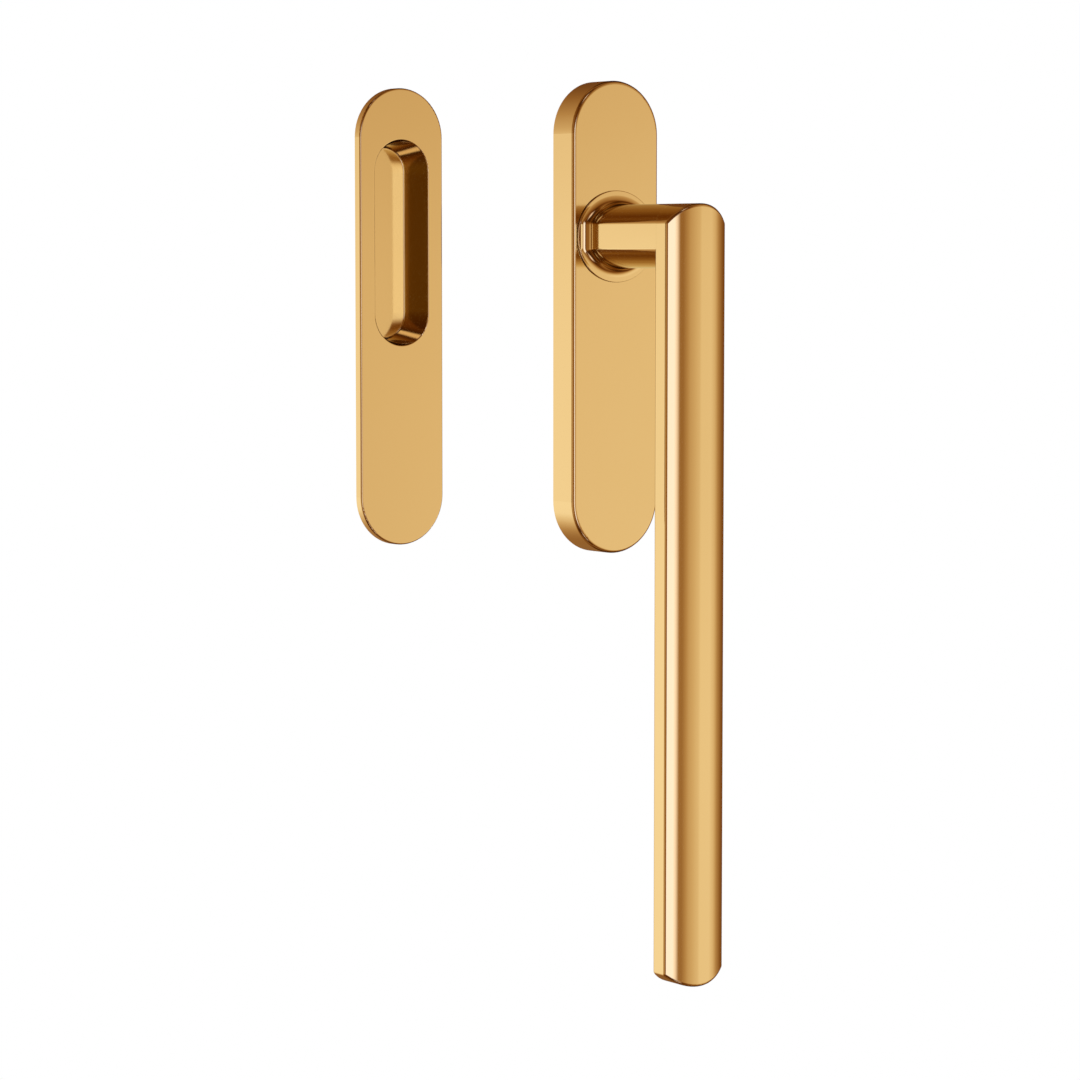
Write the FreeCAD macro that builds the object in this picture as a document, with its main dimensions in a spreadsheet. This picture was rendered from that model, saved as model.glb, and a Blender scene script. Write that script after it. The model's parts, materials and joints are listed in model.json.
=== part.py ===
"""Lift and slide door handle: a lever set on an oval plate, and the flush pull of the same set.

Origin: where the spindle axis meets the face of the door. +Z is up, -Y points out of the door
toward the hand, +Y points into the door. The lever hangs straight down, as in the photo.
All lengths are millimetres. A "station" is a distance in front of the door face, so it is -Y.
"""
import FreeCAD, Part
import os
import Sketcher
from math import asin, atan2, pi

SIZES = [
    # gaps used everywhere
    ("body_gap", 0.3, "free gap between pieces that move against each other"),
    ("nest_gap", 0.15, "gap around pieces of one body that nest in each other"),
    ("running_gap", 0.05, "radial play of the journal in its bush"),
    # oval cover plate of the lever set
    ("plate_width", 50.7, "across the oval cover plate"),
    ("plate_height", 225, "height of the oval cover plate"),
    ("plate_depth", 16, "how far the cover plate stands off the door"),
    ("plate_top", 73.7, "top of the cover plate above the spindle axis"),
    ("plate_wall", 2, "wall of the cover shell"),
    ("plate_round", 1.8, "round on the front edge of the cover"),
    # cast base plate under the cover
    ("gasket_thickness", 0.8, "foam gasket behind the base plate"),
    ("gasket_clearance", 1, "gasket clear of the spigots"),
    ("base_floor", 5, "thickness of the base plate floor"),
    ("base_rim", 2.4, "width of the rim round the base plate"),
    ("rib_width", 2.2, "ribs on the base plate"),
    ("rib_station", 8.6, "front of the ribs"),
    ("rib_pitch", 22, "distance between the cross ribs"),
    ("boss_diameter", 38, "boss around the bearing"),
    ("boss_station", 10.7, "front of the bearing boss"),
    ("chamber_diameter", 31, "room for the retaining ring behind the bearing"),
    ("chamber_station", 4.7, "front of that room"),
    ("spigot_diameter", 12, "support spigots that enter the door"),
    ("spigot_length", 8, "spigot length beyond the door face"),
    # fixing screws of the lever set
    ("screw_spacing", 80, "distance between the two fixing screws"),
    ("screw_diameter", 6, "M6 shank"),
    ("screw_neck", 5.2, "plain shank between head and thread"),
    ("screw_head", 12, "countersunk head"),
    ("screw_length", 40, "screw length over all"),
    ("thread_gap", 2, "thread starts this far beyond the spigot, or into the door"),
    ("screw_boss", 16, "boss around each screw"),
    ("screw_station", 9, "front of the screw heads"),
    ("screw_clearance", 0.4, "screw hole over shank"),
    # bearing of the lever
    ("hub_diameter", 34.4, "shoulder of the neck inside the cover"),
    ("hub_station", 12.2, "rear face of that shoulder"),
    ("journal_diameter", 20, "journal that turns in the bush"),
    ("journal_station", 1.2, "rear end of the journal"),
    ("bush_wall", 2, "wall of the bush"),
    ("bush_flange", 1.5, "flange of the bush beyond its sleeve"),
    ("bush_flange_thickness", 1.2, "thickness of that flange"),
    ("glide_wall", 2.2, "wall of the glide ring in the cover hole"),
    ("glide_flange", 1.1, "thickness of its flange behind the cover"),
    ("clip_width", 26, "outer diameter of the retaining ring"),
    ("clip_thickness", 1.1, "thickness of the retaining ring"),
    ("clip_station", 2.2, "rear side of the groove for the ring"),
    ("clip_groove", 0.8, "depth of that groove"),
    ("clip_opening", 4, "opening of the retaining ring"),
    ("washer_thickness", 0.7, "thrust washer"),
    ("washer_diameter", 26, "thrust washer"),
    ("stop_diameter", 2.5, "stop pin that ends the half turn"),
    ("stop_radius", 15.3, "stop pin off the spindle axis"),
    ("stop_depth", 3, "depth of the half round stop groove"),
    ("stop_seat", 3.5, "stop pin sunk in the neck"),
    # spindle
    ("spindle_side", 10, "square spindle"),
    ("spindle_reach", 28, "spindle beyond the door face"),
    ("socket_station", 30, "end of the square socket in the neck"),
    ("spindle_chamfer", 0.7, "chamfer on the spindle ends"),
    ("grub_diameter", 6, "set screw on the spindle"),
    ("grub_length", 8, "set screw length"),
    ("grub_station", 22, "set screw in front of the door face"),
    # lever
    ("bar_width", 34.8, "width of neck and grip"),
    ("neck_height", 30.1, "height of the neck"),
    ("neck_flat", 12, "height of the flat side of the neck"),
    ("foot_width", 45.9, "width of the foot of the neck"),
    ("foot_height", 43.3, "height of the foot of the neck"),
    ("foot_flat", 1.159, "height of the flat side of the foot"),
    ("foot_corner", 1.65, "corner centres of the foot from the middle of its shorter way"),
    ("foot_lip", 0.7, "thickness of the foot rim"),
    ("foot_step", 0.15, "fine step between the foot rim and the flare"),
    ("flare_length", 9.5, "length of the hollow flare from foot to neck"),
    ("edge_round", 1.5, "round along the lever edges"),
    ("grip_front", 82, "crown of the grip in front of the door face"),
    ("grip_flat_front", 77, "front end of the flat side of the grip"),
    ("grip_flat_rear", 68.7, "rear end of the flat side of the grip"),
    ("grip_end", 351, "lowest point of the grip below the spindle axis"),
    ("end_crown", 6.6, "rise of the arch at the lower end"),
    ("joint_diameter", 6, "screw that holds the grip on the neck"),
    ("joint_head", 9.8, "cylinder head of that screw"),
    ("joint_head_height", 6, "height of that head"),
    ("joint_station", 46, "seat of that head"),
    ("joint_end", 75, "tip of that screw"),
    ("joint_play", 1, "hole in the grip beyond that tip"),
    # leaf springs that hold the covers
    ("spring_length", 14, "leaf spring"),
    ("spring_thickness", 0.4, "leaf spring"),
    ("spring_width", 4, "leaf spring of the lever set"),
    ("spring_notch", 1.4, "depth of the notch for the spring"),
    ("spring_station", 7, "rear edge of the springs"),
    ("spring_inset", 54, "middle of each spring from the nearer plate end"),
    # flush pull
    ("pull_offset", 114.7, "centre of the flush pull left of the spindle axis"),
    ("pull_width", 45.4, "across the flush pull plate"),
    ("pull_height", 209.8, "height of the flush pull plate"),
    ("pull_depth", 4.3, "how far the flush pull stands off the door"),
    ("pull_top", 67.4, "top of the flush pull above the spindle axis"),
    ("pull_round", 0.9, "round on its front edge"),
    ("pull_rim", 2, "rim of the flush pull on the door"),
    ("pull_skin", 1.3, "front wall of the flush pull"),
    ("recess_width", 29.3, "finger recess across"),
    ("recess_height", 94.3, "finger recess height"),
    ("recess_depth", 15, "finger recess depth from the front face"),
    ("recess_slope", 3.2, "how much narrower its floor is than its mouth, each side"),
    ("recess_top", 43.9, "top of the recess above the spindle axis"),
    ("recess_round", 0.9, "round between recess wall and floor"),
    ("recess_lip", 0.5, "round on the mouth of the recess"),
    ("cup_wall", 1.6, "wall of the cup in the door"),
    ("pull_gasket", 0.7, "foam gasket of the flush pull"),
    ("tap_diameter", 4, "screws of the flush pull"),
    ("tap_neck", 3, "their plain shank between head and thread"),
    ("tap_head", 7.4, "their countersunk heads"),
    ("tap_length", 30, "their length"),
    ("tap_inset", 11.8, "their distance from the plate ends"),
    ("tap_clearance", 0.3, "hole over shank"),
    ("pull_spring_width", 1.6, "leaf spring of the flush pull"),
    ("pull_spring_inset", 50, "middle of each spring from the nearer plate end"),
]

SHEET = "Sizes"
PLANES = {"front": "XZ_Plane", "side": "YZ_Plane", "top": "XY_Plane"}
CENTRE = (-1, 1)
# how far a cut or a tool runs past the faces that it opens
MARGIN = 1

doc = FreeCAD.newDocument("lift_slide_handle")


class Size:
    """A length: its number now, and the sheet expression that drives the model."""

    def __init__(self, value, text):
        self.value = float(value)
        self.text = text

    def with_other(self, other, sign, value, swap=False):
        mine, theirs = self.text, as_size(other).text
        if swap:
            mine, theirs = theirs, mine
        return Size(value, "(%s %s %s)" % (mine, sign, theirs))

    def __add__(self, other):
        return self.with_other(other, "+", self.value + as_size(other).value)

    def __radd__(self, other):
        return as_size(other) + self

    def __sub__(self, other):
        return self.with_other(other, "-", self.value - as_size(other).value)

    def __rsub__(self, other):
        return as_size(other) - self

    def __mul__(self, other):
        return self.with_other(other, "*", self.value * as_size(other).value)

    def __rmul__(self, other):
        return self * other

    def __truediv__(self, other):
        return self.with_other(other, "/", self.value / as_size(other).value)

    def __neg__(self):
        return self * -1

    def root(self):
        return Size(self.value ** 0.5, "sqrt(%s)" % self.text)

    def smaller(self, other):
        return Size(min(self.value, other.value), "min(%s; %s)" % (self.text, other.text))


def as_size(number):
    if isinstance(number, Size):
        return number
    return Size(number, "%.9g" % number if number >= 0 else "(%.9g)" % number)


def fill_sheet():
    """Write every driving size into the sheet and return them by name."""
    sheet = doc.addObject("Spreadsheet::Sheet", SHEET)
    named = {}
    for row, (name, number, note) in enumerate(SIZES, start=1):
        sheet.set("A%d" % row, name)
        sheet.set("B%d" % row, str(number))
        sheet.set("C%d" % row, note)
        sheet.setAlias("B%d" % row, name)
        named[name] = Size(number, "%s.%s" % (SHEET, name))
    doc.recompute()
    return named


def bind(thing, path, size):
    """Let a sheet expression drive one property."""
    thing.setExpression(path, as_size(size).text)


def new_body(label, x=None, z=None, station=None):
    body = doc.addObject("PartDesign::Body", label)
    body.Label = label
    body.AllowCompound = True
    if x is not None:
        bind(body, "Placement.Base.x", x)
    if z is not None:
        bind(body, "Placement.Base.z", z)
    if station is not None:
        bind(body, "Placement.Base.y", -station)
    return body


def new_sketch(body, view="front", station=None):
    """A sketch on an origin plane of the body, moved along the plane's own normal."""
    sketch = body.newObject("Sketcher::SketchObject", body.Label + "_sketch")
    plane = [item for item in body.Origin.OriginFeatures if item.Role == PLANES[view]][0]
    sketch.AttachmentSupport = [(plane, "")]
    sketch.MapMode = "FlatFace"
    if station is not None:
        bind(sketch, "AttachmentOffset.Base.z", station)
    return sketch


def vec(x, y):
    return FreeCAD.Vector(as_size(x).value, as_size(y).value, 0)


def fix_point(sketch, geometry, end, x=None, y=None):
    """Hold one point of a sketch at a driven distance from the sketch origin."""
    for kind, size, axis in (("DistanceX", x, -2), ("DistanceY", y, -1)):
        if size is None:
            continue
        size = as_size(size)
        if size.text == "0":
            sketch.addConstraint(Sketcher.Constraint("PointOnObject", geometry, end, axis))
            continue
        index = sketch.addConstraint(
            Sketcher.Constraint(kind, *CENTRE, geometry, end, size.value))
        bind(sketch, "Constraints[%d]" % index, size)


def fix_radius(sketch, geometry, radius):
    index = sketch.addConstraint(Sketcher.Constraint("Radius", geometry, as_size(radius).value))
    bind(sketch, "Constraints[%d]" % index, radius)


def circle(sketch, radius, x=0, y=0):
    shape = Part.Circle(vec(x, y), FreeCAD.Vector(0, 0, 1), as_size(radius).value)
    index = sketch.addGeometry(shape, False)
    fix_point(sketch, index, 3, x, y)
    fix_radius(sketch, index, radius)
    return index


def arc(sketch, centre, radius, start, end):
    """An arc from angle start to angle end, both in radians, anticlockwise."""
    whole = Part.Circle(centre, FreeCAD.Vector(0, 0, 1), radius)
    return sketch.addGeometry(Part.ArcOfCircle(whole, start, end), False)


def line(sketch, start, end):
    return sketch.addGeometry(Part.LineSegment(start, end), False)


def stadium(sketch, width, height, top):
    """An oval with half round ends, centred on x = 0, with its top at the given height."""
    radius = width / 2
    high = top - radius
    low = top - height + radius
    half_turn = 3.14159265358979
    right = line(sketch, vec(radius, low), vec(radius, high))
    upper = arc(sketch, vec(0, high), radius.value, 0, half_turn)
    left = line(sketch, vec(-radius, high), vec(-radius, low))
    lower = arc(sketch, vec(0, low), radius.value, half_turn, 2 * half_turn)
    ring = [(right, 2, upper, 1), (upper, 2, left, 1), (left, 2, lower, 1), (lower, 2, right, 1)]
    for first, first_end, second, second_end in ring:
        sketch.addConstraint(
            Sketcher.Constraint("Tangent", first, first_end, second, second_end))
    sketch.addConstraint(Sketcher.Constraint("Vertical", right))
    fix_point(sketch, upper, 3, 0, high)
    fix_point(sketch, lower, 3, None, low)
    fix_radius(sketch, upper, radius)


def polygon(sketch, points):
    """A closed outline of straight lines through driven points."""
    count = len(points)
    lines = []
    for number in range(count):
        here, after = points[number], points[(number + 1) % count]
        lines.append(line(sketch, vec(*here), vec(*after)))
    for number in range(count):
        after = lines[(number + 1) % count]
        sketch.addConstraint(Sketcher.Constraint("Coincident", lines[number], 2, after, 1))
    for number in range(count):
        fix_point(sketch, lines[number], 1, *points[number])


def box(sketch, left, right, bottom, top):
    polygon(sketch, [(left, bottom), (right, bottom), (right, top), (left, top)])


def crown_radius(half_width, rise):
    """Radius of the arc that spans the full width and rises by the given amount."""
    return (half_width * half_width + rise * rise) / (rise * 2)


def corner_crown_radius(half_width, half_height, half_flat, corner):
    """Radius of the crown that runs smoothly into corners above flat sides."""
    inner = half_width - corner
    upper = half_height - half_flat
    return (inner * inner + upper * upper - corner * corner) / ((upper - corner) * 2)


def rounded_crowns(sketch, half_width, half_height, crown, corner):
    """Two flat sides joined by an upper and a lower crown, with rounded corners."""
    centre = half_height - crown
    inner = half_width - corner
    rise = centre + ((crown - corner) * (crown - corner) - inner * inner).root()
    tilt = atan2(rise.value - centre.value, inner.value)
    right = line(sketch, vec(half_width, -rise), vec(half_width, rise))
    ne = arc(sketch, vec(inner, rise), corner.value, 0, tilt)
    upper = arc(sketch, vec(0, centre), crown.value, tilt, pi - tilt)
    nw = arc(sketch, vec(-inner, rise), corner.value, pi - tilt, pi)
    left = line(sketch, vec(-half_width, rise), vec(-half_width, -rise))
    sw = arc(sketch, vec(-inner, -rise), corner.value, pi, pi + tilt)
    lower = arc(sketch, vec(0, -centre), crown.value, pi + tilt, 2 * pi - tilt)
    se = arc(sketch, vec(inner, -rise), corner.value, 2 * pi - tilt, 2 * pi)
    ring = [right, ne, upper, nw, left, sw, lower, se]
    for first, second in zip(ring, ring[1:] + ring[:1]):
        sketch.addConstraint(Sketcher.Constraint("Tangent", first, 2, second, 1))
    sketch.addConstraint(Sketcher.Constraint("Vertical", right))
    sketch.addConstraint(Sketcher.Constraint("Vertical", left))
    fix_point(sketch, right, 1, half_width)
    fix_point(sketch, left, 1, -half_width)
    fix_point(sketch, upper, 3, 0, centre)
    fix_point(sketch, lower, 3, 0, -centre)
    for piece in (upper, lower):
        fix_radius(sketch, piece, crown)
    for piece in (ne, nw, sw, se):
        fix_radius(sketch, piece, corner)


def sharp_crowns(sketch, half_width, flat_low, flat_high, rise_low, rise_high):
    """Two flat sides between two heights, closed by an arc below and an arc above."""
    upper_radius = crown_radius(half_width, rise_high)
    lower_radius = crown_radius(half_width, rise_low)
    upper_centre = flat_high + rise_high - upper_radius
    lower_centre = flat_low - rise_low + lower_radius
    upper_tilt = atan2(flat_high.value - upper_centre.value, half_width.value)
    lower_tilt = atan2(lower_centre.value - flat_low.value, half_width.value)
    right = line(sketch, vec(half_width, flat_low), vec(half_width, flat_high))
    upper = arc(sketch, vec(0, upper_centre), upper_radius.value, upper_tilt, pi - upper_tilt)
    left = line(sketch, vec(-half_width, flat_high), vec(-half_width, flat_low))
    lower = arc(sketch, vec(0, lower_centre), lower_radius.value, pi + lower_tilt,
                2 * pi - lower_tilt)
    ring = [right, upper, left, lower]
    for first, second in zip(ring, ring[1:] + ring[:1]):
        sketch.addConstraint(Sketcher.Constraint("Coincident", first, 2, second, 1))
    fix_point(sketch, right, 1, half_width, flat_low)
    fix_point(sketch, right, 2, half_width, flat_high)
    fix_point(sketch, left, 1, -half_width, flat_high)
    fix_point(sketch, left, 2, -half_width, flat_low)
    fix_radius(sketch, upper, upper_radius)
    fix_radius(sketch, lower, lower_radius)


def checked(feature):
    """Recompute and stop with the name of the feature when it fails."""
    doc.recompute()
    shape = feature.Shape
    if shape.isNull() or not shape.isValid() or not shape.Solids:
        raise RuntimeError("%s fails" % feature.Name)
    return feature


def pad(body, sketch, length, reverse=False, taper=None):
    feature = body.newObject("PartDesign::Pad", body.Label + "_pad")
    feature.Profile = sketch
    feature.Reversed = reverse
    bind(feature, "Length", length)
    if taper is not None:
        bind(feature, "TaperAngle", taper)
    return checked(feature)


def cut(body, sketch, length=None, forward=False, taper=None):
    """Pocket along the sketch: backward by default, forward when asked; all the way when open."""
    before = body.Shape.Volume
    feature = body.newObject("PartDesign::Pocket", body.Label + "_pocket")
    feature.Profile = sketch
    feature.Reversed = forward
    if length is None:
        feature.Type = "ThroughAll"
    else:
        bind(feature, "Length", length)
    if taper is not None:
        bind(feature, "TaperAngle", taper)
    checked(feature)
    if not feature.Shape.Volume < before - 1e-3:
        raise RuntimeError("a pocket of %s removes nothing" % body.Label)
    return feature


def turn(body, sketch, axis="H_Axis"):
    feature = body.newObject("PartDesign::Revolution", body.Label + "_turned")
    feature.Profile = sketch
    feature.ReferenceAxis = (sketch, [axis])
    feature.Angle = 360
    return checked(feature)


def pick_edges(feature, test):
    """Names of the edges of a feature that pass a test on their list of points."""
    names = []
    for number, edge in enumerate(feature.Shape.Edges, start=1):
        points = edge.discretize(9)
        if test(points):
            names.append("Edge%d" % number)
    if not names:
        raise RuntimeError("no edge found on %s" % feature.Label)
    return names


def round_edges(body, feature, test, radius):
    names = pick_edges(feature, test)
    fillet = body.newObject("PartDesign::Fillet", body.Label + "_fillet")
    fillet.Base = (feature, names)
    bind(fillet, "Radius", radius)
    return checked(fillet)


def bevel_edges(body, feature, test, size):
    names = pick_edges(feature, test)
    chamfer = body.newObject("PartDesign::Chamfer", body.Label + "_chamfer")
    chamfer.Base = (feature, names)
    bind(chamfer, "Size", size)
    return checked(chamfer)


def repeat(body, features, axis, pitch, count, reverse=False):
    """Repeat features along an axis of the body origin at a driven pitch."""
    pattern = body.newObject("PartDesign::LinearPattern", body.Label + "_pattern")
    direction = [item for item in body.Origin.OriginFeatures if item.Role == axis][0]
    pattern.Originals = features
    pattern.Direction = (direction, [""])
    pattern.Reversed = reverse
    pattern.Occurrences = count
    bind(pattern, "Length", pitch * (count - 1))
    body.Tip = pattern
    return checked(pattern)


def all_at(axis, value, slack=0.02):
    """An edge test: every point of the edge has this coordinate."""
    return lambda points: all(abs(getattr(point, axis) - value) < slack for point in points)


def near_axis(points, x, z, reach):
    return all(((point.x - x) ** 2 + (point.z - z) ** 2) ** 0.5 < reach for point in points)


def hexagon(sketch, across):
    """A hexagon with flats at left and right, given its width across flats."""
    side = across / as_size(3).root()
    half = across / 2
    polygon(sketch, [(half, -side / 2), (half, side / 2), (0, side), (-half, side / 2),
                     (-half, -side / 2), (0, -side)])


def cover_plate(s):
    """Oval shell with a round hole for the neck shoulder."""
    body = new_body("cover_plate")
    outline = new_sketch(body)
    stadium(outline, s["plate_width"], s["plate_height"], s["plate_top"])
    block = pad(body, outline, s["plate_depth"])
    front = all_at("y", -s["plate_depth"].value)
    round_edges(body, block, front, s["plate_round"])
    hollow = new_sketch(body)
    wall = s["plate_wall"]
    stadium(hollow, s["plate_width"] - wall * 2, s["plate_height"] - wall * 2,
            s["plate_top"] - wall)
    cut(body, hollow, s["plate_depth"] - wall, forward=True)
    hole = new_sketch(body)
    circle(hole, glide_radius(s) + s["nest_gap"])
    cut(body, hole, forward=True)
    return body


def glide_radius(s):
    return s["hub_diameter"] / 2 + s["body_gap"] + s["glide_wall"]


def base_outline(s, sketch, inset=0):
    margin = s["plate_wall"] + s["nest_gap"] + inset
    stadium(sketch, s["plate_width"] - margin * 2, s["plate_height"] - margin * 2,
            s["plate_top"] - margin)


def floor_station(s):
    return s["gasket_thickness"] + s["base_floor"]


def base_plate(s):
    """Cast plate under the cover: bearing boss, screw bosses, ribs, spigots and stop groove."""
    body = new_body("base_plate")
    rear = s["gasket_thickness"]
    floor = floor_station(s)
    spacing = s["screw_spacing"]
    rim_front = s["plate_depth"] - s["plate_wall"] - s["body_gap"]

    outline = new_sketch(body, station=rear)
    base_outline(s, outline)
    pad(body, outline, s["base_floor"])

    rim = new_sketch(body, station=floor)
    base_outline(s, rim)
    base_outline(s, rim, s["base_rim"])
    pad(body, rim, rim_front - floor)

    boss = new_sketch(body, station=floor)
    circle(boss, s["boss_diameter"] / 2)
    pad(body, boss, s["boss_station"] - floor)

    for side in (1, -1):
        height = spacing / 2 * side
        screw_boss = new_sketch(body, station=floor)
        circle(screw_boss, s["screw_boss"] / 2, 0, height)
        pad(body, screw_boss, s["screw_station"] - floor)
        spigot = new_sketch(body, station=rear)
        circle(spigot, s["spigot_diameter"] / 2, 0, height)
        pad(body, spigot, rear + s["spigot_length"], reverse=True)

    base_ribs(s, body)
    base_holes(s, body)
    base_stop_groove(s, body)
    spring_notches(s, body, s["plate_width"] / 2 - s["plate_wall"] - s["nest_gap"],
                   s["spring_station"] - s["nest_gap"], rim_front,
                   *cover_spring_places(s))
    return body


def base_ribs(s, body):
    """A web along the middle and cross ribs in the lower half."""
    floor = floor_station(s)
    half = s["plate_width"] / 2 - s["plate_wall"] - s["base_rim"]
    bottom = s["plate_top"] - s["plate_height"] + s["plate_wall"] + s["base_rim"]
    start = -s["screw_spacing"] / 2 - s["screw_boss"] / 2 - s["rib_pitch"] / 2
    rise = s["rib_station"] - floor
    web = new_sketch(body, station=floor)
    box(web, -s["rib_width"] / 2, s["rib_width"] / 2, bottom, start + s["rib_pitch"] / 2 + 2)
    pad(body, web, rise)
    cross = new_sketch(body, station=floor)
    box(cross, -half, half, start - s["rib_width"], start)
    first = pad(body, cross, rise)
    repeat(body, [first], "Z_Axis", s["rib_pitch"], 4, reverse=True)


def base_holes(s, body):
    rear = s["gasket_thickness"]
    spacing = s["screw_spacing"]
    hole_radius = (s["screw_diameter"] + s["screw_clearance"]) / 2
    bore = new_sketch(body)
    circle(bore, bush_radius(s) + s["running_gap"])
    cut(body, bore, s["boss_station"] + MARGIN, forward=True)
    chamber = new_sketch(body)
    circle(chamber, s["chamber_diameter"] / 2)
    cut(body, chamber, s["chamber_station"], forward=True)
    screws = new_sketch(body, station=-s["spigot_length"])
    circle(screws, hole_radius, 0, spacing / 2)
    circle(screws, hole_radius, 0, -spacing / 2)
    drilled = cut(body, screws, s["spigot_length"] + s["screw_station"] + rear, forward=True)
    front = -s["screw_station"].value
    reach = hole_radius.value + 0.2
    height = spacing.value / 2

    def hole_mouth(points):
        at_front = all(abs(point.y - front) < 0.02 for point in points)
        upper = near_axis(points, 0, height, reach)
        lower = near_axis(points, 0, -height, reach)
        return at_front and (upper or lower)

    bevel_edges(body, drilled, hole_mouth, (s["screw_head"] - s["screw_diameter"]) / 2)


def base_stop_groove(s, body):
    """Half round groove in the front of the bearing boss; its ends stop the pin."""
    half = s["stop_diameter"] / 2 + s["body_gap"]
    middle = s["stop_radius"]
    sketch = new_sketch(body, station=s["boss_station"])
    outer = arc(sketch, vec(0, 0), (middle + half).value, -pi / 2, pi / 2)
    top = arc(sketch, vec(0, middle), half.value, pi / 2, 3 * pi / 2)
    inner = arc(sketch, vec(0, 0), (middle - half).value, -pi / 2, pi / 2)
    bottom = arc(sketch, vec(0, -middle), half.value, pi / 2, 3 * pi / 2)
    joints = [(outer, 2, top, 1), (top, 2, inner, 2), (inner, 1, bottom, 1), (bottom, 2, outer, 1)]
    for first, first_end, second, second_end in joints:
        sketch.addConstraint(
            Sketcher.Constraint("Coincident", first, first_end, second, second_end))
    for piece in (outer, inner):
        sketch.addConstraint(Sketcher.Constraint("Coincident", piece, 3, *CENTRE))
    fix_radius(sketch, outer, middle + half)
    fix_radius(sketch, inner, middle - half)
    for piece in (outer, inner):
        for end in (1, 2):
            sketch.addConstraint(Sketcher.Constraint("PointOnObject", piece, end, -2))
    fix_point(sketch, top, 3, 0)
    fix_point(sketch, bottom, 3, 0)
    cut(body, sketch, s["stop_depth"])


def cover_spring_places(s):
    """Height of the upper springs, and the distance down to the lower ones."""
    return s["plate_top"] - s["spring_inset"], s["plate_height"] - s["spring_inset"] * 2


def pull_spring_places(s):
    inset = s["pull_spring_inset"]
    return s["pull_top"] - inset, s["pull_height"] - inset * 2


def spring_notches(s, body, half_width, rear, front, top, pitch):
    """Four notches in the long sides for the leaf springs."""
    reach = s["spring_length"] / 2 + s["body_gap"]
    outer = half_width + MARGIN
    inner = half_width - s["spring_notch"]
    sketch = new_sketch(body, station=front + MARGIN)
    for height in (top, top - pitch):
        box(sketch, inner, outer, height - reach, height + reach)
        box(sketch, -outer, -inner, height - reach, height + reach)
    cut(body, sketch, front + MARGIN - rear)


def leaf_springs(s, label, half_width, width, station, top, pitch, cover_half, x=None):
    """Four bowed leaf springs between a base plate and the cover around it."""
    body = new_body(label, x=x)
    thickness = s["spring_thickness"]
    seat = half_width - s["spring_notch"] + s["nest_gap"] / 3
    crest = cover_half - s["nest_gap"] / 3
    half = s["spring_length"] / 2
    rise = crest - seat - thickness
    inner = crown_radius(half, rise)
    outer = inner + thickness
    centre = crest - outer
    swing = asin(half.value / inner.value)
    sketch = new_sketch(body, station=station)
    middle = vec(centre, top)
    big = arc(sketch, middle, outer.value, -swing, swing)
    small = arc(sketch, middle, inner.value, -swing, swing)
    ends = []
    for number in (1, 2):
        tip = sketch.getPoint(big, number)
        root = sketch.getPoint(small, number)
        ends.append(line(sketch, tip, root))
        sketch.addConstraint(Sketcher.Constraint("Coincident", big, number, ends[-1], 1))
        sketch.addConstraint(Sketcher.Constraint("Coincident", small, number, ends[-1], 2))
        sketch.addConstraint(Sketcher.Constraint("PointOnObject", big, 3, ends[-1]))
    sketch.addConstraint(Sketcher.Constraint("Coincident", big, 3, small, 3))
    fix_point(sketch, big, 3, centre, top)
    fix_radius(sketch, big, outer)
    fix_radius(sketch, small, inner)
    fix_point(sketch, small, 1, None, top - half)
    fix_point(sketch, small, 2, None, top + half)
    leaf = pad(body, sketch, width)
    return spring_set(body, leaf, pitch)


def spring_set(body, leaf, pitch):
    """Repeat one spring below itself, then mirror both to the other long side."""
    down = body.newObject("PartDesign::LinearPattern", body.Label + "_down")
    axis = [item for item in body.Origin.OriginFeatures if item.Role == "Z_Axis"][0]
    down.Direction = (axis, [""])
    down.Reversed = True
    down.Occurrences = 2
    bind(down, "Length", pitch)
    across = body.newObject("PartDesign::Mirrored", body.Label + "_across")
    plane = [item for item in body.Origin.OriginFeatures if item.Role == "YZ_Plane"][0]
    across.MirrorPlane = (plane, [""])
    both = body.newObject("PartDesign::MultiTransform", body.Label + "_set")
    both.Originals = [leaf]
    both.Transformations = [down, across]
    body.Tip = both
    checked(both)
    return body


def plate_gasket(s):
    """Foam sheet behind the base plate, cut out round the spigots and the spindle."""
    body = new_body("plate_gasket")
    sheet = new_sketch(body)
    base_outline(s, sheet, s["nest_gap"])
    circle(sheet, s["chamber_diameter"] / 2)
    for side in (1, -1):
        height = s["screw_spacing"] / 2 * side
        circle(sheet, s["spigot_diameter"] / 2 + s["gasket_clearance"], 0, height)
    pad(body, sheet, s["gasket_thickness"] - s["nest_gap"] / 3)
    return body


def bush_radius(s):
    return s["journal_diameter"] / 2 + s["running_gap"] + s["bush_wall"]


def ring_profile(body, points):
    """A turned piece from (station, radius) points."""
    sketch = new_sketch(body, "side")
    polygon(sketch, [(-station, radius) for station, radius in points])
    return turn(body, sketch)


def bearing_bush(s):
    """Flanged nylon bush in the boss of the base plate."""
    body = new_body("bearing_bush")
    inner = s["journal_diameter"] / 2 + s["running_gap"]
    outer = bush_radius(s)
    front = s["boss_station"] + s["bush_flange_thickness"]
    ring_profile(body, [(s["chamber_station"], inner), (front, inner),
                        (front, outer + s["bush_flange"]),
                        (s["boss_station"], outer + s["bush_flange"]),
                        (s["boss_station"], outer), (s["chamber_station"], outer)])
    return body


def glide_ring(s):
    """Nylon ring that lines the hole of the cover round the neck shoulder."""
    body = new_body("glide_ring")
    inner = s["hub_diameter"] / 2 + s["body_gap"]
    outer = glide_radius(s)
    front = s["plate_depth"] - s["nest_gap"]
    seat = s["plate_depth"] - s["plate_wall"] - s["nest_gap"] / 3
    rear = seat - s["glide_flange"]
    rim = s["plate_width"] / 2 - s["plate_wall"] - s["nest_gap"] - s["base_rim"]
    lip = rim - s["nest_gap"]
    ring_profile(body, [(rear, inner), (front, inner), (front, outer), (seat, outer),
                        (seat, lip), (rear, lip)])
    return body


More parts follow.
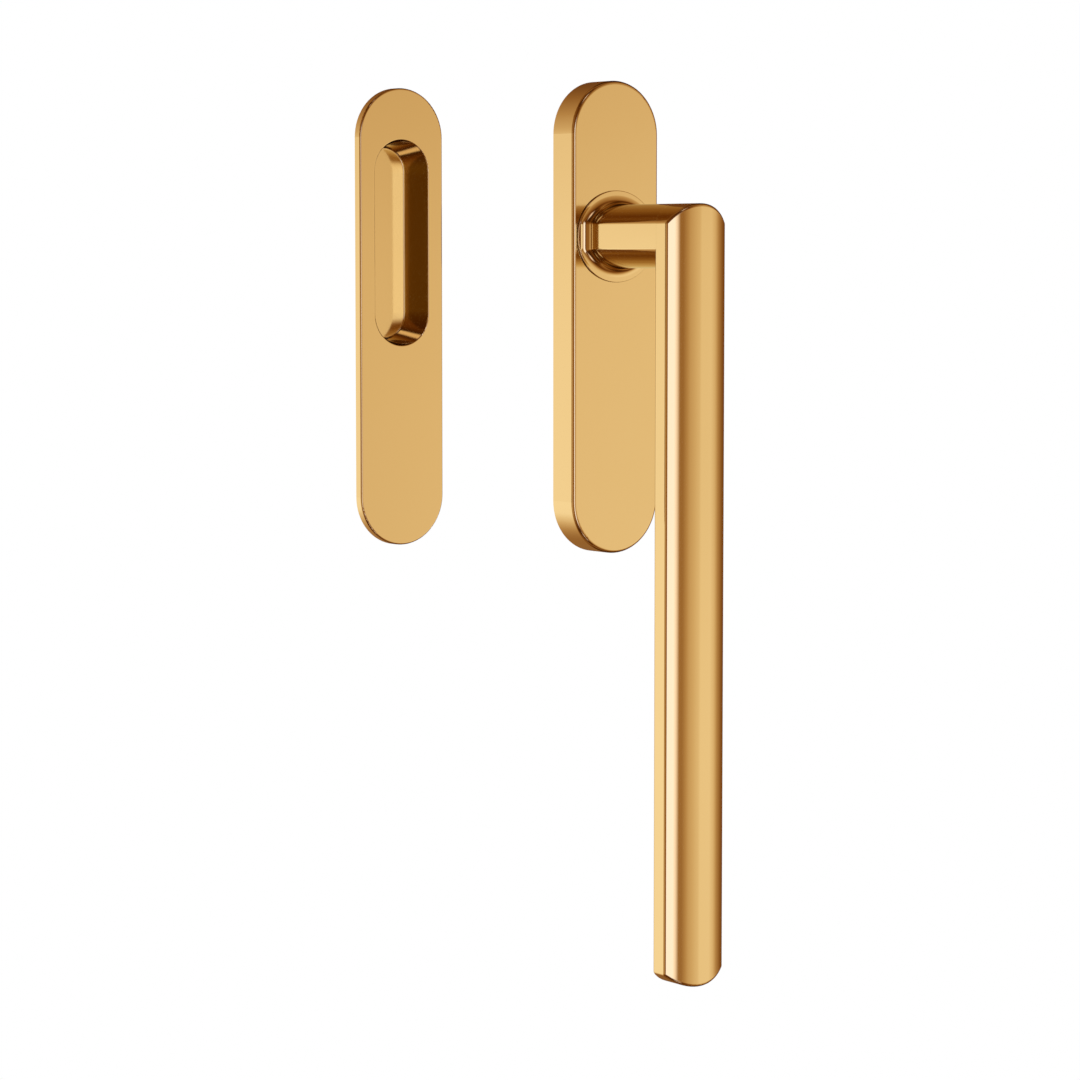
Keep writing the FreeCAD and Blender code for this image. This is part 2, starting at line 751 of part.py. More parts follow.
def thrust_washer(s):
    """Steel washer between the bush and the retaining ring."""
    body = new_body("thrust_washer")
    rear = s["clip_station"] + s["clip_thickness"] + s["nest_gap"]
    sketch = new_sketch(body, station=rear)
    circle(sketch, s["washer_diameter"] / 2)
    circle(sketch, s["journal_diameter"] / 2 + s["running_gap"])
    pad(body, sketch, s["washer_thickness"])
    return body


def retaining_ring(s):
    """Snap ring with an opening and two plier holes, in the groove of the journal."""
    body = new_body("retaining_ring")
    seat = s["journal_diameter"] / 2 - s["clip_groove"] + s["running_gap"]
    outer = s["clip_width"] / 2
    middle = (seat + outer) / 2
    sketch = new_sketch(body, station=s["clip_station"] + s["running_gap"])
    circle(sketch, outer)
    circle(sketch, seat)
    pad(body, sketch, s["clip_thickness"])
    opening = new_sketch(body)
    half = s["clip_opening"] / 2
    box(opening, -half, half, 0, outer + 2)
    cut(body, opening, forward=True)
    holes = new_sketch(body)
    for side in (1, -1):
        circle(holes, (outer - seat) / 4, (half + (outer - seat) / 2) * side, middle - 0.4)
    cut(body, holes, forward=True)
    return body


def grow(start, end, share):
    return start + (end - start) * share


def foot_station(s):
    return s["plate_depth"] + s["body_gap"]


def neck_blank(s):
    """Neck before it is fitted: journal, shoulder, oval foot, hollow flare and crowned arm."""
    body = new_body("neck_blank")
    journal = new_sketch(body, station=s["journal_station"])
    circle(journal, s["journal_diameter"] / 2)
    pad(body, journal, s["hub_station"] - s["journal_station"])
    shoulder = new_sketch(body, station=s["hub_station"])
    circle(shoulder, s["hub_diameter"] / 2)
    foot = foot_station(s)
    pad(body, shoulder, foot - s["hub_station"])
    neck_flare(s, body)
    neck_arm(s, body)
    neck_cuts(s, body)
    return body


def neck_outline(s, sketch, share, extra=0):
    """Outline of the flare: the arm at share 0, the foot at share 1, and grown all round."""
    arm_crown = crown_radius(s["bar_width"] / 2, (s["neck_height"] - s["neck_flat"]) / 2)
    half_width = s["foot_width"] / 2
    half_height = s["foot_height"] / 2
    corner = half_width.smaller(half_height) - s["foot_corner"]
    crown = corner_crown_radius(half_width, half_height, s["foot_flat"] / 2, corner)
    rounded_crowns(sketch,
                   grow(s["bar_width"] / 2, half_width, share) + extra,
                   grow(s["neck_height"] / 2, half_height, share) + extra,
                   grow(arm_crown, crown, share) + extra,
                   grow(s["edge_round"], corner, share * share) + extra)


def neck_flare(s, body):
    """Foot rim, then a loft through outlines that follow a quarter of an ellipse."""
    foot = foot_station(s)
    rim = new_sketch(body, station=foot)
    neck_outline(s, rim, 1, s["foot_step"])
    pad(body, rim, s["foot_lip"])
    start = foot + s["foot_lip"]
    outlines = []
    for part in (0, 0.05, 0.2, 0.5, 1):
        share = 1 - (1 - (1 - part) ** 2) ** 0.5
        outline = new_sketch(body, station=start + s["flare_length"] * part)
        neck_outline(s, outline, share)
        outlines.append(outline)
    loft = body.newObject("PartDesign::AdditiveLoft", "neck_loft")
    loft.Profile = outlines[0]
    loft.Sections = outlines[1:]
    loft.Ruled = False
    checked(loft)


def neck_arm(s, body):
    """Straight arm; it runs past the flat side of the grip, which is cut out of it later."""
    start = foot_station(s) + s["foot_lip"] + s["flare_length"]
    arm = new_sketch(body, station=start)
    neck_outline(s, arm, 0)
    pad(body, arm, s["grip_flat_rear"] + s["edge_round"] / 2 - start)


def neck_cuts(s, body):
    """Square socket, screw bores, set screw hole, ring groove and stop pin hole."""
    start = s["journal_station"]
    side = s["spindle_side"] / 2 + s["running_gap"]
    socket = new_sketch(body, station=start)
    box(socket, -side, side, -side, side)
    cut(body, socket, s["socket_station"] - start, forward=True)
    head = new_sketch(body, station=s["socket_station"])
    circle(head, s["joint_head"] / 2 + s["nest_gap"])
    cut(body, head, s["joint_station"] - s["socket_station"], forward=True)
    shank = new_sketch(body, station=s["joint_station"])
    circle(shank, s["joint_diameter"] / 2 + s["nest_gap"])
    cut(body, shank, forward=True)
    set_screw = new_sketch(body, "side")
    circle(set_screw, s["grub_diameter"] / 2 + s["running_gap"], -s["grub_station"])
    cut(body, set_screw, s["foot_width"] / 2, forward=True)
    groove = new_sketch(body, station=s["clip_station"])
    circle(groove, s["journal_diameter"] / 2 + MARGIN)
    circle(groove, s["journal_diameter"] / 2 - s["clip_groove"])
    cut(body, groove, s["clip_thickness"] + s["running_gap"] * 2, forward=True)
    pin = new_sketch(body, station=s["hub_station"])
    circle(pin, s["stop_diameter"] / 2 + s["running_gap"], 0, -s["stop_radius"])
    cut(body, pin, s["stop_seat"], forward=True)


def fitted_neck(s, grip):
    """The neck, hollowed where it sits on the rounded back of the grip."""
    neck = doc.addObject("Part::Cut", "neck")
    neck.Label = "neck"
    neck.Base = neck_blank(s)
    neck.Tool = grip
    return checked(neck)


def grip_bar(s):
    """Long grip: crowned front and rear, flat sides, arched top like the neck, arched bottom."""
    body = new_body("grip_bar")
    half = s["bar_width"] / 2
    rise = s["grip_front"] - s["grip_flat_front"]
    top_rise = (s["neck_height"] - s["neck_flat"]) / 2
    low = -s["grip_end"] - MARGIN
    profile = new_sketch(body, "top", station=low)
    sharp_crowns(profile, half, -s["grip_flat_front"], -s["grip_flat_rear"], rise, rise)
    bar = pad(body, profile, s["neck_height"] - low)
    front_corner = -s["grip_flat_front"].value

    def runs_along(points):
        return abs(points[0].z - points[-1].z) > half.value * 2

    def front_corners(points):
        on_corner = all(abs(point.y - front_corner) < 0.01 for point in points)
        return on_corner and runs_along(points)

    round_edges(body, bar, front_corners, s["edge_round"])
    trim_end(body, half, s["neck_flat"] / 2, top_rise, s["neck_height"])
    ended = trim_end(body, half, -s["grip_end"] + s["end_crown"], s["end_crown"],
                     s["neck_height"], downward=True)
    end_top = s["neck_flat"].value / 2 - 2
    end_low = -s["grip_end"].value + s["end_crown"].value + MARGIN
    rear = -s["grip_flat_rear"].value

    def soft_edges(points):
        """The lower end, the front of the upper end, and the long rear corners."""
        if runs_along(points):
            return all(abs(point.y - rear) < 0.01 for point in points)
        at_low = all(point.z < end_low for point in points)
        at_top = all(point.z > end_top and point.y < rear + 0.01 for point in points)
        return at_low or at_top

    round_edges(body, ended, soft_edges, s["edge_round"])
    hole = new_sketch(body, station=s["grip_flat_rear"] - rise - MARGIN)
    circle(hole, s["joint_diameter"] / 2 + s["running_gap"])
    depth = s["joint_end"] - s["grip_flat_rear"] + rise + s["joint_play"] + MARGIN
    cut(body, hole, depth, forward=True)
    return body


def trim_end(body, half, level, rise, beyond, downward=False):
    """Cut the bar off along an arch over its width; level is where the arch meets the sides."""
    wide = half + MARGIN
    radius = crown_radius(half, rise)
    sign = -1 if downward else 1
    centre = level + (rise - radius) * sign
    end = centre + (radius * radius - wide * wide).root() * sign
    far = level + (rise + beyond) * sign
    tilt = atan2(end.value - centre.value, wide.value)
    sketch = new_sketch(body)
    if sign > 0:
        edge = arc(sketch, vec(0, centre), radius.value, tilt, pi - tilt)
        first, last = (wide, end), (-wide, end)
        corners = [(-wide, far), (wide, far)]
    else:
        edge = arc(sketch, vec(0, centre), radius.value, pi - tilt, 2 * pi + tilt)
        first, last = (-wide, end), (wide, end)
        corners = [(wide, far), (-wide, far)]
    up = line(sketch, vec(*last), vec(*corners[0]))
    over = line(sketch, vec(*corners[0]), vec(*corners[1]))
    down = line(sketch, vec(*corners[1]), vec(*first))
    ring = [edge, up, over, down]
    for one, two in zip(ring, ring[1:] + ring[:1]):
        sketch.addConstraint(Sketcher.Constraint("Coincident", one, 2, two, 1))
    fix_point(sketch, up, 1, *last)
    fix_point(sketch, over, 1, *corners[0])
    fix_point(sketch, down, 1, *corners[1])
    fix_point(sketch, edge, 1, *first)
    fix_radius(sketch, edge, radius)
    return cut(body, sketch, forward=True)


def joint_screw(s):
    """Cap screw inside the neck that pulls the grip onto it."""
    body = new_body("joint_screw", station=s["joint_station"])
    head = s["joint_head"] / 2
    shank = s["joint_diameter"] / 2
    sketch = new_sketch(body, "side")
    reach = s["joint_end"] - s["joint_station"]
    point = shank / 3
    polygon(sketch, [(s["joint_head_height"], 0), (s["joint_head_height"], head), (0, head),
                     (0, shank), (point - reach, shank), (-reach, shank - point), (-reach, 0)])
    turn(body, sketch)
    socket = new_sketch(body, station=-s["joint_head_height"])
    hexagon(socket, s["joint_diameter"] * 5 / 6)
    cut(body, socket, s["joint_head_height"] / 2, forward=True)
    return body


def spindle(s):
    """Square bar that drives the gear in the door."""
    body = new_body("spindle")
    side = s["spindle_side"] / 2
    front = s["socket_station"] - s["body_gap"]
    sketch = new_sketch(body, station=front)
    box(sketch, -side, side, -side, side)
    bar = pad(body, sketch, front + s["spindle_reach"], reverse=True)
    rear = s["spindle_reach"].value
    ends = bevel_edges(body, bar, all_at("y", rear), s["spindle_chamfer"])
    bevel_edges(body, ends, all_at("y", -front.value), s["spindle_chamfer"])
    dimple = new_sketch(body, "side", station=side)
    circle(dimple, s["grub_diameter"] / 2, -s["grub_station"])
    cut(body, dimple, s["spindle_chamfer"])
    return body


def spindle_grub_screw(s):
    """Set screw in the side of the foot away from the plate middle; it clamps the spindle."""
    body = new_body("spindle_grub_screw", station=s["grub_station"])
    tip = s["spindle_side"] / 2 - s["spindle_chamfer"] * 0.8
    radius = s["grub_diameter"] / 2
    sketch = new_sketch(body)
    end = tip + s["grub_length"]
    polygon(sketch, [(tip, 0), (tip, radius / 2), (tip + radius / 2, radius),
                     (end, radius), (end, 0)])
    turn(body, sketch, "H_Axis")
    socket = new_sketch(body, "side", station=end)
    hexagon(socket, s["grub_diameter"] / 2)
    cut(body, socket, s["grub_length"] / 2)
    return body


def stop_pin(s):
    """Dowel in the neck shoulder; it runs in the half round groove of the base plate."""
    body = new_body("stop_pin", z=-s["stop_radius"])
    rear = s["boss_station"] - s["stop_depth"] + s["body_gap"]
    front = s["hub_station"] + s["stop_seat"] - s["nest_gap"]
    sketch = new_sketch(body, station=rear)
    circle(sketch, s["stop_diameter"] / 2)
    pin = pad(body, sketch, front - rear)
    bevel_edges(body, pin, lambda points: len(points) > 2 and
                abs(points[0].y - points[4].y) < 0.01, s["stop_diameter"] / 10)
    return body


def mount_screws(s):
    """Two countersunk screws that clamp the lever set through the door."""
    station = s["screw_station"] - s["nest_gap"]
    body = new_body("mount_screws", z=s["screw_spacing"] / 2, station=station)
    start = station + s["spigot_length"] + s["thread_gap"]
    return screw_set(body, s["screw_head"], s["screw_diameter"], s["screw_neck"], start,
                     s["screw_length"], s["screw_spacing"])


def screw_set(body, head, thread, neck, start, length, pitch):
    """One countersunk screw with a hexagon socket, repeated once below.

    The thread begins at a depth of start under the head; the neck above it is thinner.
    """
    cone = (head - neck) / 2
    step = (thread - neck) / 2
    tip = thread / 4
    sketch = new_sketch(body, "side")
    polygon(sketch, [(0, 0), (0, head / 2), (cone, neck / 2), (start - step, neck / 2),
                     (start, thread / 2), (length - tip, thread / 2),
                     (length, thread / 2 - tip), (length, 0)])
    turned = turn(body, sketch)
    socket = new_sketch(body)
    hexagon(socket, head / 3)
    key = cut(body, socket, cone * 0.8)
    repeat(body, [turned, key], "Z_Axis", pitch, 2, reverse=True)
    return body


def pull_body(s):
    """Flush pull: thin oval plate with a sloping finger recess, cast with its cup."""
    body = new_body("pull_body", x=-s["pull_offset"])
    depth = s["pull_depth"]
    skin = s["pull_skin"]
    outline = new_sketch(body)
    stadium(outline, s["pull_width"], s["pull_height"], s["pull_top"])
    plate = pad(body, outline, depth)
    round_edges(body, plate, all_at("y", -depth.value), s["pull_round"])
    hollow = new_sketch(body)
    rim = s["pull_rim"]
    stadium(hollow, s["pull_width"] - rim * 2, s["pull_height"] - rim * 2, s["pull_top"] - rim)
    cut(body, hollow, depth - skin, forward=True)
    cup = new_sketch(body, station=depth - skin / 2)
    recess_outline(s, cup, s["cup_wall"])
    tail = s["recess_depth"] + s["cup_wall"] - skin / 2
    taper = recess_taper(s)
    walls = pad(body, cup, tail, reverse=True, taper=taper)
    rear = (s["recess_depth"] + s["cup_wall"] - depth).value
    outer = round_edges(body, walls, all_at("y", rear), s["recess_round"] + s["cup_wall"] / 2)
    recess = new_sketch(body, station=depth)
    recess_outline(s, recess, 0)
    hollowed = cut(body, recess, s["recess_depth"], taper=taper)
    floor = (s["recess_depth"] - depth).value
    inner = round_edges(body, hollowed, all_at("y", floor), s["recess_round"])
    half = s["recess_width"].value / 2 + 0.1
    mouth = all_at("y", -depth.value)
    round_edges(body, inner, lambda points: mouth(points) and
                all(abs(point.x) < half for point in points), s["recess_lip"])
    return body


def recess_taper(s):
    """Angle of the recess walls, negative because they close towards the floor."""
    slope, depth = s["recess_slope"], s["recess_depth"]
    return Size(-atan2(slope.value, depth.value) * 180 / pi,
                "-atan(%s / %s)" % (slope.text, depth.text))


def recess_outline(s, sketch, extra):
    stadium(sketch, s["recess_width"] + as_size(extra) * 2,
            s["recess_height"] + as_size(extra) * 2, s["recess_top"] + extra)


def pull_inner(s):
    return s["pull_width"] / 2 - s["pull_rim"] - s["nest_gap"]


def pull_base_outline(s, sketch, inset):
    margin = s["pull_rim"] + s["nest_gap"] + inset
    stadium(sketch, s["pull_width"] - margin * 2, s["pull_height"] - margin * 2,
            s["pull_top"] - margin)


def tap_heights(s):
    upper = s["pull_top"] - s["tap_inset"]
    return upper, upper - s["pull_height"] + s["tap_inset"] * 2


def pull_base(s):
    """Steel plate screwed to the door; the flush pull snaps over it."""
    body = new_body("pull_base", x=-s["pull_offset"])
    front = s["pull_depth"] - s["pull_skin"] - s["nest_gap"]
    rear = s["pull_gasket"]
    sketch = new_sketch(body, station=rear)
    pull_base_outline(s, sketch, as_size(0))
    recess_outline(s, sketch, s["cup_wall"] + s["nest_gap"] * 2)
    pad(body, sketch, front - rear)
    holes = new_sketch(body)
    radius = (s["tap_diameter"] + s["tap_clearance"]) / 2
    for height in tap_heights(s):
        circle(holes, radius, 0, height)
    drilled = cut(body, holes, forward=True)
    reach = radius.value + 0.2
    marks = [height.value for height in tap_heights(s)]

    def mouths(points):
        at_front = all(abs(point.y + front.value) < 0.02 for point in points)
        return at_front and any(near_axis(points, 0, mark, reach) for mark in marks)

    bevel_edges(body, drilled, mouths, (s["tap_head"] - s["tap_diameter"]) / 2)
    spring_notches(s, body, pull_inner(s), rear - MARGIN, front,
                   *pull_spring_places(s))
    return body


def pull_gasket(s):
    """Foam sheet between the flush pull base and the door."""
    body = new_body("pull_gasket", x=-s["pull_offset"])
    sketch = new_sketch(body)
    pull_base_outline(s, sketch, s["nest_gap"])
    recess_outline(s, sketch, s["cup_wall"] + s["nest_gap"] * 2)
    for height in tap_heights(s):
        circle(sketch, s["tap_diameter"] / 2 + s["nest_gap"], 0, height)
    pad(body, sketch, s["pull_gasket"] - s["nest_gap"] / 3)
    return body


def pull_screws(s):
    """Two countersunk screws that hold the flush pull base."""
    upper, lower = tap_heights(s)
    front = s["pull_depth"] - s["pull_skin"] - s["nest_gap"] * 2
    body = new_body("pull_screws", x=-s["pull_offset"], z=upper, station=front)
    return screw_set(body, s["tap_head"], s["tap_diameter"], s["tap_neck"],
                     front + s["thread_gap"], s["tap_length"], upper - lower)


def cover_springs(s):
    half = s["plate_width"] / 2 - s["plate_wall"]
    return leaf_springs(s, "cover_springs", half - s["nest_gap"], s["spring_width"],
                        s["spring_station"], *cover_spring_places(s), half)


def pull_springs(s):
    half = s["pull_width"] / 2 - s["pull_rim"]
    station = s["pull_gasket"] + s["nest_gap"]
    return leaf_springs(s, "pull_springs", half - s["nest_gap"], s["pull_spring_width"],
                        station, *pull_spring_places(s), half,
                        x=-s["pull_offset"])


BUILDERS = [cover_plate, base_plate, plate_gasket, cover_springs, mount_screws, bearing_bush,
            glide_ring, thrust_washer, retaining_ring, joint_screw, spindle,
            spindle_grub_screw, stop_pin, pull_body, pull_base, pull_gasket, pull_springs,
            pull_screws]


def check_document():
    """Stop when any object is in error or any sub-part has no valid solid."""
    for item in doc.Objects:
        if "Invalid" in item.State or "Error" in item.State:
            raise RuntimeError("%s is in error: %s" % (item.Label, item.State))


def main():
    os.makedirs("parts", exist_ok=True)
    sizes = fill_sheet()
    grip = grip_bar(sizes)
    bodies = [grip, fitted_neck(sizes, grip)]
    bodies += [build(sizes) for build in BUILDERS]
    doc.recompute()
    check_document()
    for body in bodies:
        shape = body.Shape
        if shape.isNull() or not shape.isValid() or not shape.Solids:
            raise RuntimeError("%s has no valid solid" % body.Label)
        shape.exportStep("parts/%s.step" % body.Label)
        print(body.Label, len(shape.Solids), round(shape.Volume, 1))


main()
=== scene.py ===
import json
import math

import bmesh
import bpy
from bpy.props import FloatProperty, FloatVectorProperty, IntProperty, PointerProperty
from bpy.types import Operator, Panel, PropertyGroup
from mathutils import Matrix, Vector


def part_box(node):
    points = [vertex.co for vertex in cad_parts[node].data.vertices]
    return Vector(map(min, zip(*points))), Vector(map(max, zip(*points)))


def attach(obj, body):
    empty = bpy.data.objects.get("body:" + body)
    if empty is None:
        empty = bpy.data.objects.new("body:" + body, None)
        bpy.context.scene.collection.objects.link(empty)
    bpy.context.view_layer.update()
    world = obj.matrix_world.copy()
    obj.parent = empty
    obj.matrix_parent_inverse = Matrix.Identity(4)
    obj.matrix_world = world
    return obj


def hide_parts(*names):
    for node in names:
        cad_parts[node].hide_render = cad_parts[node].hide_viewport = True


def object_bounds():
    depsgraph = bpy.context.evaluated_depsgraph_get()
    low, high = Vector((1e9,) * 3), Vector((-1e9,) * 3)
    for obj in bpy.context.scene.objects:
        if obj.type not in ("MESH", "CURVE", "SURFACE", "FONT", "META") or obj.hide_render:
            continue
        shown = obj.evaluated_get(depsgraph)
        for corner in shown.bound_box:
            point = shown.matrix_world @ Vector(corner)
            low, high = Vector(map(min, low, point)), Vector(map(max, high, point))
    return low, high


bl_info = {
    "name": "Lift and slide door handle",
    "version": (1, 0, 0),
    "blender": (4, 5, 0),
    "location": "3D View > Sidebar > Door Handle",
    "description": "Finishes, screw threads and studio for a lift and slide door handle",
    "category": "Object",
}

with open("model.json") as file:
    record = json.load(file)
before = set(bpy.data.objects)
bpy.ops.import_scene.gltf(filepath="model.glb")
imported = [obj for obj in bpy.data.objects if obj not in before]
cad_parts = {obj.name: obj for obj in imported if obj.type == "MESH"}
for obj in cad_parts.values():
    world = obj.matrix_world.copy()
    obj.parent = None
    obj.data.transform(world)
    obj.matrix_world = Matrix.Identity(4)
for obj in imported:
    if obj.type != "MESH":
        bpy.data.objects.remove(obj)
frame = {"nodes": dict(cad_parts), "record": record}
CAD_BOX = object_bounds()
NODES = frame["nodes"]
BODIES = {node: body for body, nodes in frame["record"]["behaviour"]["bodies"].items()
          for node in nodes}

# lengths are in metres, and the headings and heights of the studio in degrees

# painted shade and tint on the brass colour: it is times the first where another polished wall
# mirrors it, and times the second as well where a third wall or a later one mirrors that image,
# so deep mirror images in recesses come out darker
PAINTED_BOUNCE_SHADE = ((0.87, 1.035, 1.22), (0.195, 0.126, 0.037))
NOISE_MIDDLE = 0.5

# corners of the neck that lie closer than this are one
SAME_PLACE = 1e-6
# steps of the fillet's quarter round, of which the small round of the rim takes every third
FILLET_STEPS = 14
RIM_STRIDE = 3
# how far the cutter reaches past the edge of the disc
CUTTER_MARGIN = 0.003
NECK_CREASE = math.radians(30)

MOUNT_SCREW_RADIUS = 0.003
PULL_SCREW_RADIUS = 0.002
# where the threads start behind the door face
MOUNT_THREAD_START = 0.010
PULL_THREAD_START = 0.002
THREAD_DEPTH = 0.0006
# one turn of a thread: shares of the pitch along it, and shares of the depth from root to crest
THREAD_PROFILE = ((-0.5, 0.0), (-0.34, 0.0), (-0.06, 1.0), (0.06, 1.0), (0.34, 0.0))
# turns in which the crest runs out at each end
THREAD_RUN_OUT = 0.5
THREAD_CREASE = math.radians(35)
# a face is part of the plain cylinder when it ends this close to the thread's ends, and when
# its normal leans no more than this along the screw
CYLINDER_SLACK = 0.0002
CYLINDER_LEAN = 0.1

# brightness of the cloth round the handle by heading: 0 lies straight out from the door, and
# negative headings lie on the left of somebody who faces it
CLOTH_ROUND_ABOUT = (
    (-180, 0.68), (-165, 0.85), (-150, 1.0), (-128, 1.0), (-112, 0.38), (-97, 0.36),
    (-87, 0.80), (-77, 0.34), (-45, 0.30), (-33, 0.22), (-12, 0.22), (-6, 0.54), (-1, 0.36),
    (4, 0.36), (16, 0.62), (29, 0.76), (34, 0.80), (37.5, 0.885), (58, 0.89), (68, 0.76),
    (78, 0.47), (90, 0.25), (100, 0.16), (138, 0.16), (158, 0.42), (180, 0.68))
# what that is times from straight below to straight above
CLOTH_UP_AND_DOWN = (
    (-90, 0.42), (-66, 0.28), (-52, 0.17), (-38, 0.50), (-28, 0.80), (-19, 0.98), (-8, 1.0),
    (0, 0.93), (8, 0.67), (21, 0.55), (31, 0.47), (39, 0.42), (54, 0.17), (66, 0.28),
    (90, 0.42))
# the darker the cloth, the warmer its colour
CLOTH_COLOURS = (
    (0.0, (0, 0, 0)), (0.15, (0.15, 0.053, 0.011)), (0.3, (0.3, 0.155, 0.056)),
    (0.5, (0.5, 0.34, 0.19)), (0.7, (0.7, 0.575, 0.425)), (0.85, (0.85, 0.777, 0.677)),
    (1.0, (1, 1, 1)))
# the softbox over heading and height, and the strips, which have its headings; both are blue
# enough to look pale in the brass
SOFTBOX_ACROSS = ((-28, 0), (-24, 1), (-10.5, 1), (-1.5, 0))
SOFTBOX_HIGH = ((-34, 0), (-25, 1), (7, 1), (19, 0))
SOFTBOX_COLOUR = (0.95, 1.20, 2.0)
STRIPS_HIGH = ((-61, 0), (-51, 1), (-41, 0), (41, 0), (51, 1), (61, 0))
STRIPS_COLOUR = (1.02, 0.93, 1.15)
WHITE = (1.0, 1.0, 1.0)
SOFT_LIGHT_COLOUR = (1.0, 0.985, 0.96)

PAPER_FIBRES = 240.0
PAPER_COLOURS = ((0.3, (0.86, 0.86, 0.855)), (0.7, (0.90, 0.90, 0.895)))
# how far out the paper begins to pass into white, and where it is white
PAPER_FADE = ((0.30, 0.0), (0.72, 1.0))
# how far the floor reaches each way
FLOOR_REACH = 6.0
FLOOR_CELLS = 24
KEY_LAMP_SIZE = (1.2, 1.6)
KEY_LAMP_PLACE = (-0.9, -1.6, 0.9)
KEY_LAMP_AIM = (-0.02, 0, -0.14)


class HandleFinishes(PropertyGroup):
    """Colours and finishes of the pieces."""

    brass: FloatVectorProperty(
        name="Brass", description="Colour of the brass plates and the lever",
        subtype="COLOR", size=3, min=0, max=1, default=(0.922, 0.651, 0.283))
    brass_roughness: FloatProperty(
        name="Brass roughness", description="How blurred the polish of the brass is",
        subtype="FACTOR", min=0, max=1, default=0.07)
    grain: FloatProperty(
        name="Polishing grain", description="Depth of the fine polishing marks in the brass",
        subtype="FACTOR", min=0, max=1, default=0.12)
    steel: FloatVectorProperty(
        name="Steel", description="Colour of screws, springs, spindle and rings",
        subtype="COLOR", size=3, min=0, max=1, default=(0.60, 0.60, 0.58))
    zinc: FloatVectorProperty(
        name="Cast zinc", description="Colour of the hidden base plates",
        subtype="COLOR", size=3, min=0, max=1, default=(0.44, 0.44, 0.43))
    nylon: FloatVectorProperty(
        name="Nylon", description="Colour of the bush and the glide ring",
        subtype="COLOR", size=3, min=0, max=1, default=(0.74, 0.70, 0.60))
    foam: FloatVectorProperty(
        name="Foam", description="Colour of the gaskets",
        subtype="COLOR", size=3, min=0, max=1, default=(0.030, 0.030, 0.032))


class HandleThreads(PropertyGroup):
    """Threads of the screws that enter the door."""

    metric_pitch: FloatProperty(
        name="M6 pitch", description="Pitch of the fixing screws of the lever set",
        subtype="DISTANCE", unit="LENGTH", min=0.0005, max=0.002, default=0.001)
    tapping_pitch: FloatProperty(
        name="Tapping pitch", description="Pitch of the screws of the flush pull",
        subtype="DISTANCE", unit="LENGTH", min=0.0008, max=0.004, default=0.0018)
    segments: IntProperty(
        name="Segments", description="Points around one turn of a thread",
        min=12, max=96, default=36)


class HandleNeck(PropertyGroup):
    """The foot of the neck, where the arm meets the disc."""

    width: FloatProperty(
        name="Width", description="Width of the arm",
        subtype="DISTANCE", unit="LENGTH", min=0.01, max=0.05, default=0.0348)
    height: FloatProperty(
        name="Height", description="Height of the arm over its crowns",
        subtype="DISTANCE", unit="LENGTH", min=0.01, max=0.05, default=0.0301)
    side: FloatProperty(
        name="Flat side", description="Height of the flat side of the arm",
        subtype="DISTANCE", unit="LENGTH", min=0.002, max=0.03, default=0.012)
    edge: FloatProperty(
        name="Edge round", description="Round between the flat side and the crowns",
        subtype="DISTANCE", unit="LENGTH", min=0.0002, max=0.005, default=0.0015)
    fillet: FloatProperty(
        name="Fillet", description="Radius between the disc and the arm",
        subtype="DISTANCE", unit="LENGTH", min=0.001, max=0.005, default=0.0045)
    rim: FloatProperty(
        name="Rim round", description="Round on the front edge of the disc",
        subtype="DISTANCE", unit="LENGTH", min=0.0001, max=0.0005, default=0.00035)
    disc_width: FloatProperty(
        name="Disc width", description="Width of the disc",
        subtype="DISTANCE", unit="LENGTH", min=0.04, max=0.05, default=0.0462)
    disc_height: FloatProperty(
        name="Disc height", description="Height of the disc",
        subtype="DISTANCE", unit="LENGTH", min=0.04, max=0.05, default=0.0436)
    disc_crown: FloatProperty(
        name="Disc crown", description="Radius of the upper and lower outline of the disc",
        subtype="DISTANCE", unit="LENGTH", min=0.024, max=0.04, default=0.02475)
    disc_corner: FloatProperty(
        name="Disc corner", description="Radius of the corners of the disc",
        subtype="DISTANCE", unit="LENGTH", min=0.01, max=0.0205, default=0.02015)
    disc_face: FloatProperty(
        name="Disc face", description="Front face of the disc in front of the door",
        subtype="DISTANCE", unit="LENGTH", min=0.016, max=0.0175, default=0.0169)
    flare_end: FloatProperty(
        name="Flare end", description="Where the arm is bare, in front of the door",
        subtype="DISTANCE", unit="LENGTH", min=0.02, max=0.03, default=0.0265)


class HandleStudio(PropertyGroup):
    """Camera, floor and light."""

    floor_drop: FloatProperty(
        name="Floor drop", description="Floor below the lower end of the grip",
        subtype="DISTANCE", unit="LENGTH", min=0.0, max=2.0, default=0.25)
    camera_place: FloatVectorProperty(
        name="Camera place", description="Where the camera stands",
        subtype="TRANSLATION", unit="LENGTH", size=3,
        default=(-0.9987517, -1.3332587, -0.0088666))
    camera_turn: FloatProperty(
        name="Camera turn", description="Heading of the camera, from straight at the door",
        subtype="ANGLE", unit="ROTATION", default=0.6268)
    camera_tilt: FloatProperty(
        name="Camera tilt", description="Tilt of the camera, negative is down",
        subtype="ANGLE", unit="ROTATION", default=-0.0822)
    lens: FloatProperty(
        name="Lens", description="Focal length for a frame 36 mm wide",
        subtype="DISTANCE_CAMERA", unit="CAMERA", min=10, max=400, default=115.237)
    softbox: FloatProperty(
        name="Softbox", description="Brightness of the soft light at the right of the camera",
        min=0, max=4, default=1.0)
    soft_light: FloatProperty(
        name="Soft light", description="Level of the even light all round",
        min=0, max=2, default=0.62)
    key_light: FloatProperty(
        name="Key light", description="Power of the large lamp above the camera",
        subtype="POWER", unit="POWER", min=0, max=200, default=16.0)


def rgba(colour):
    """A colour of three numbers with its alpha."""
    return (*colour, 1.0)


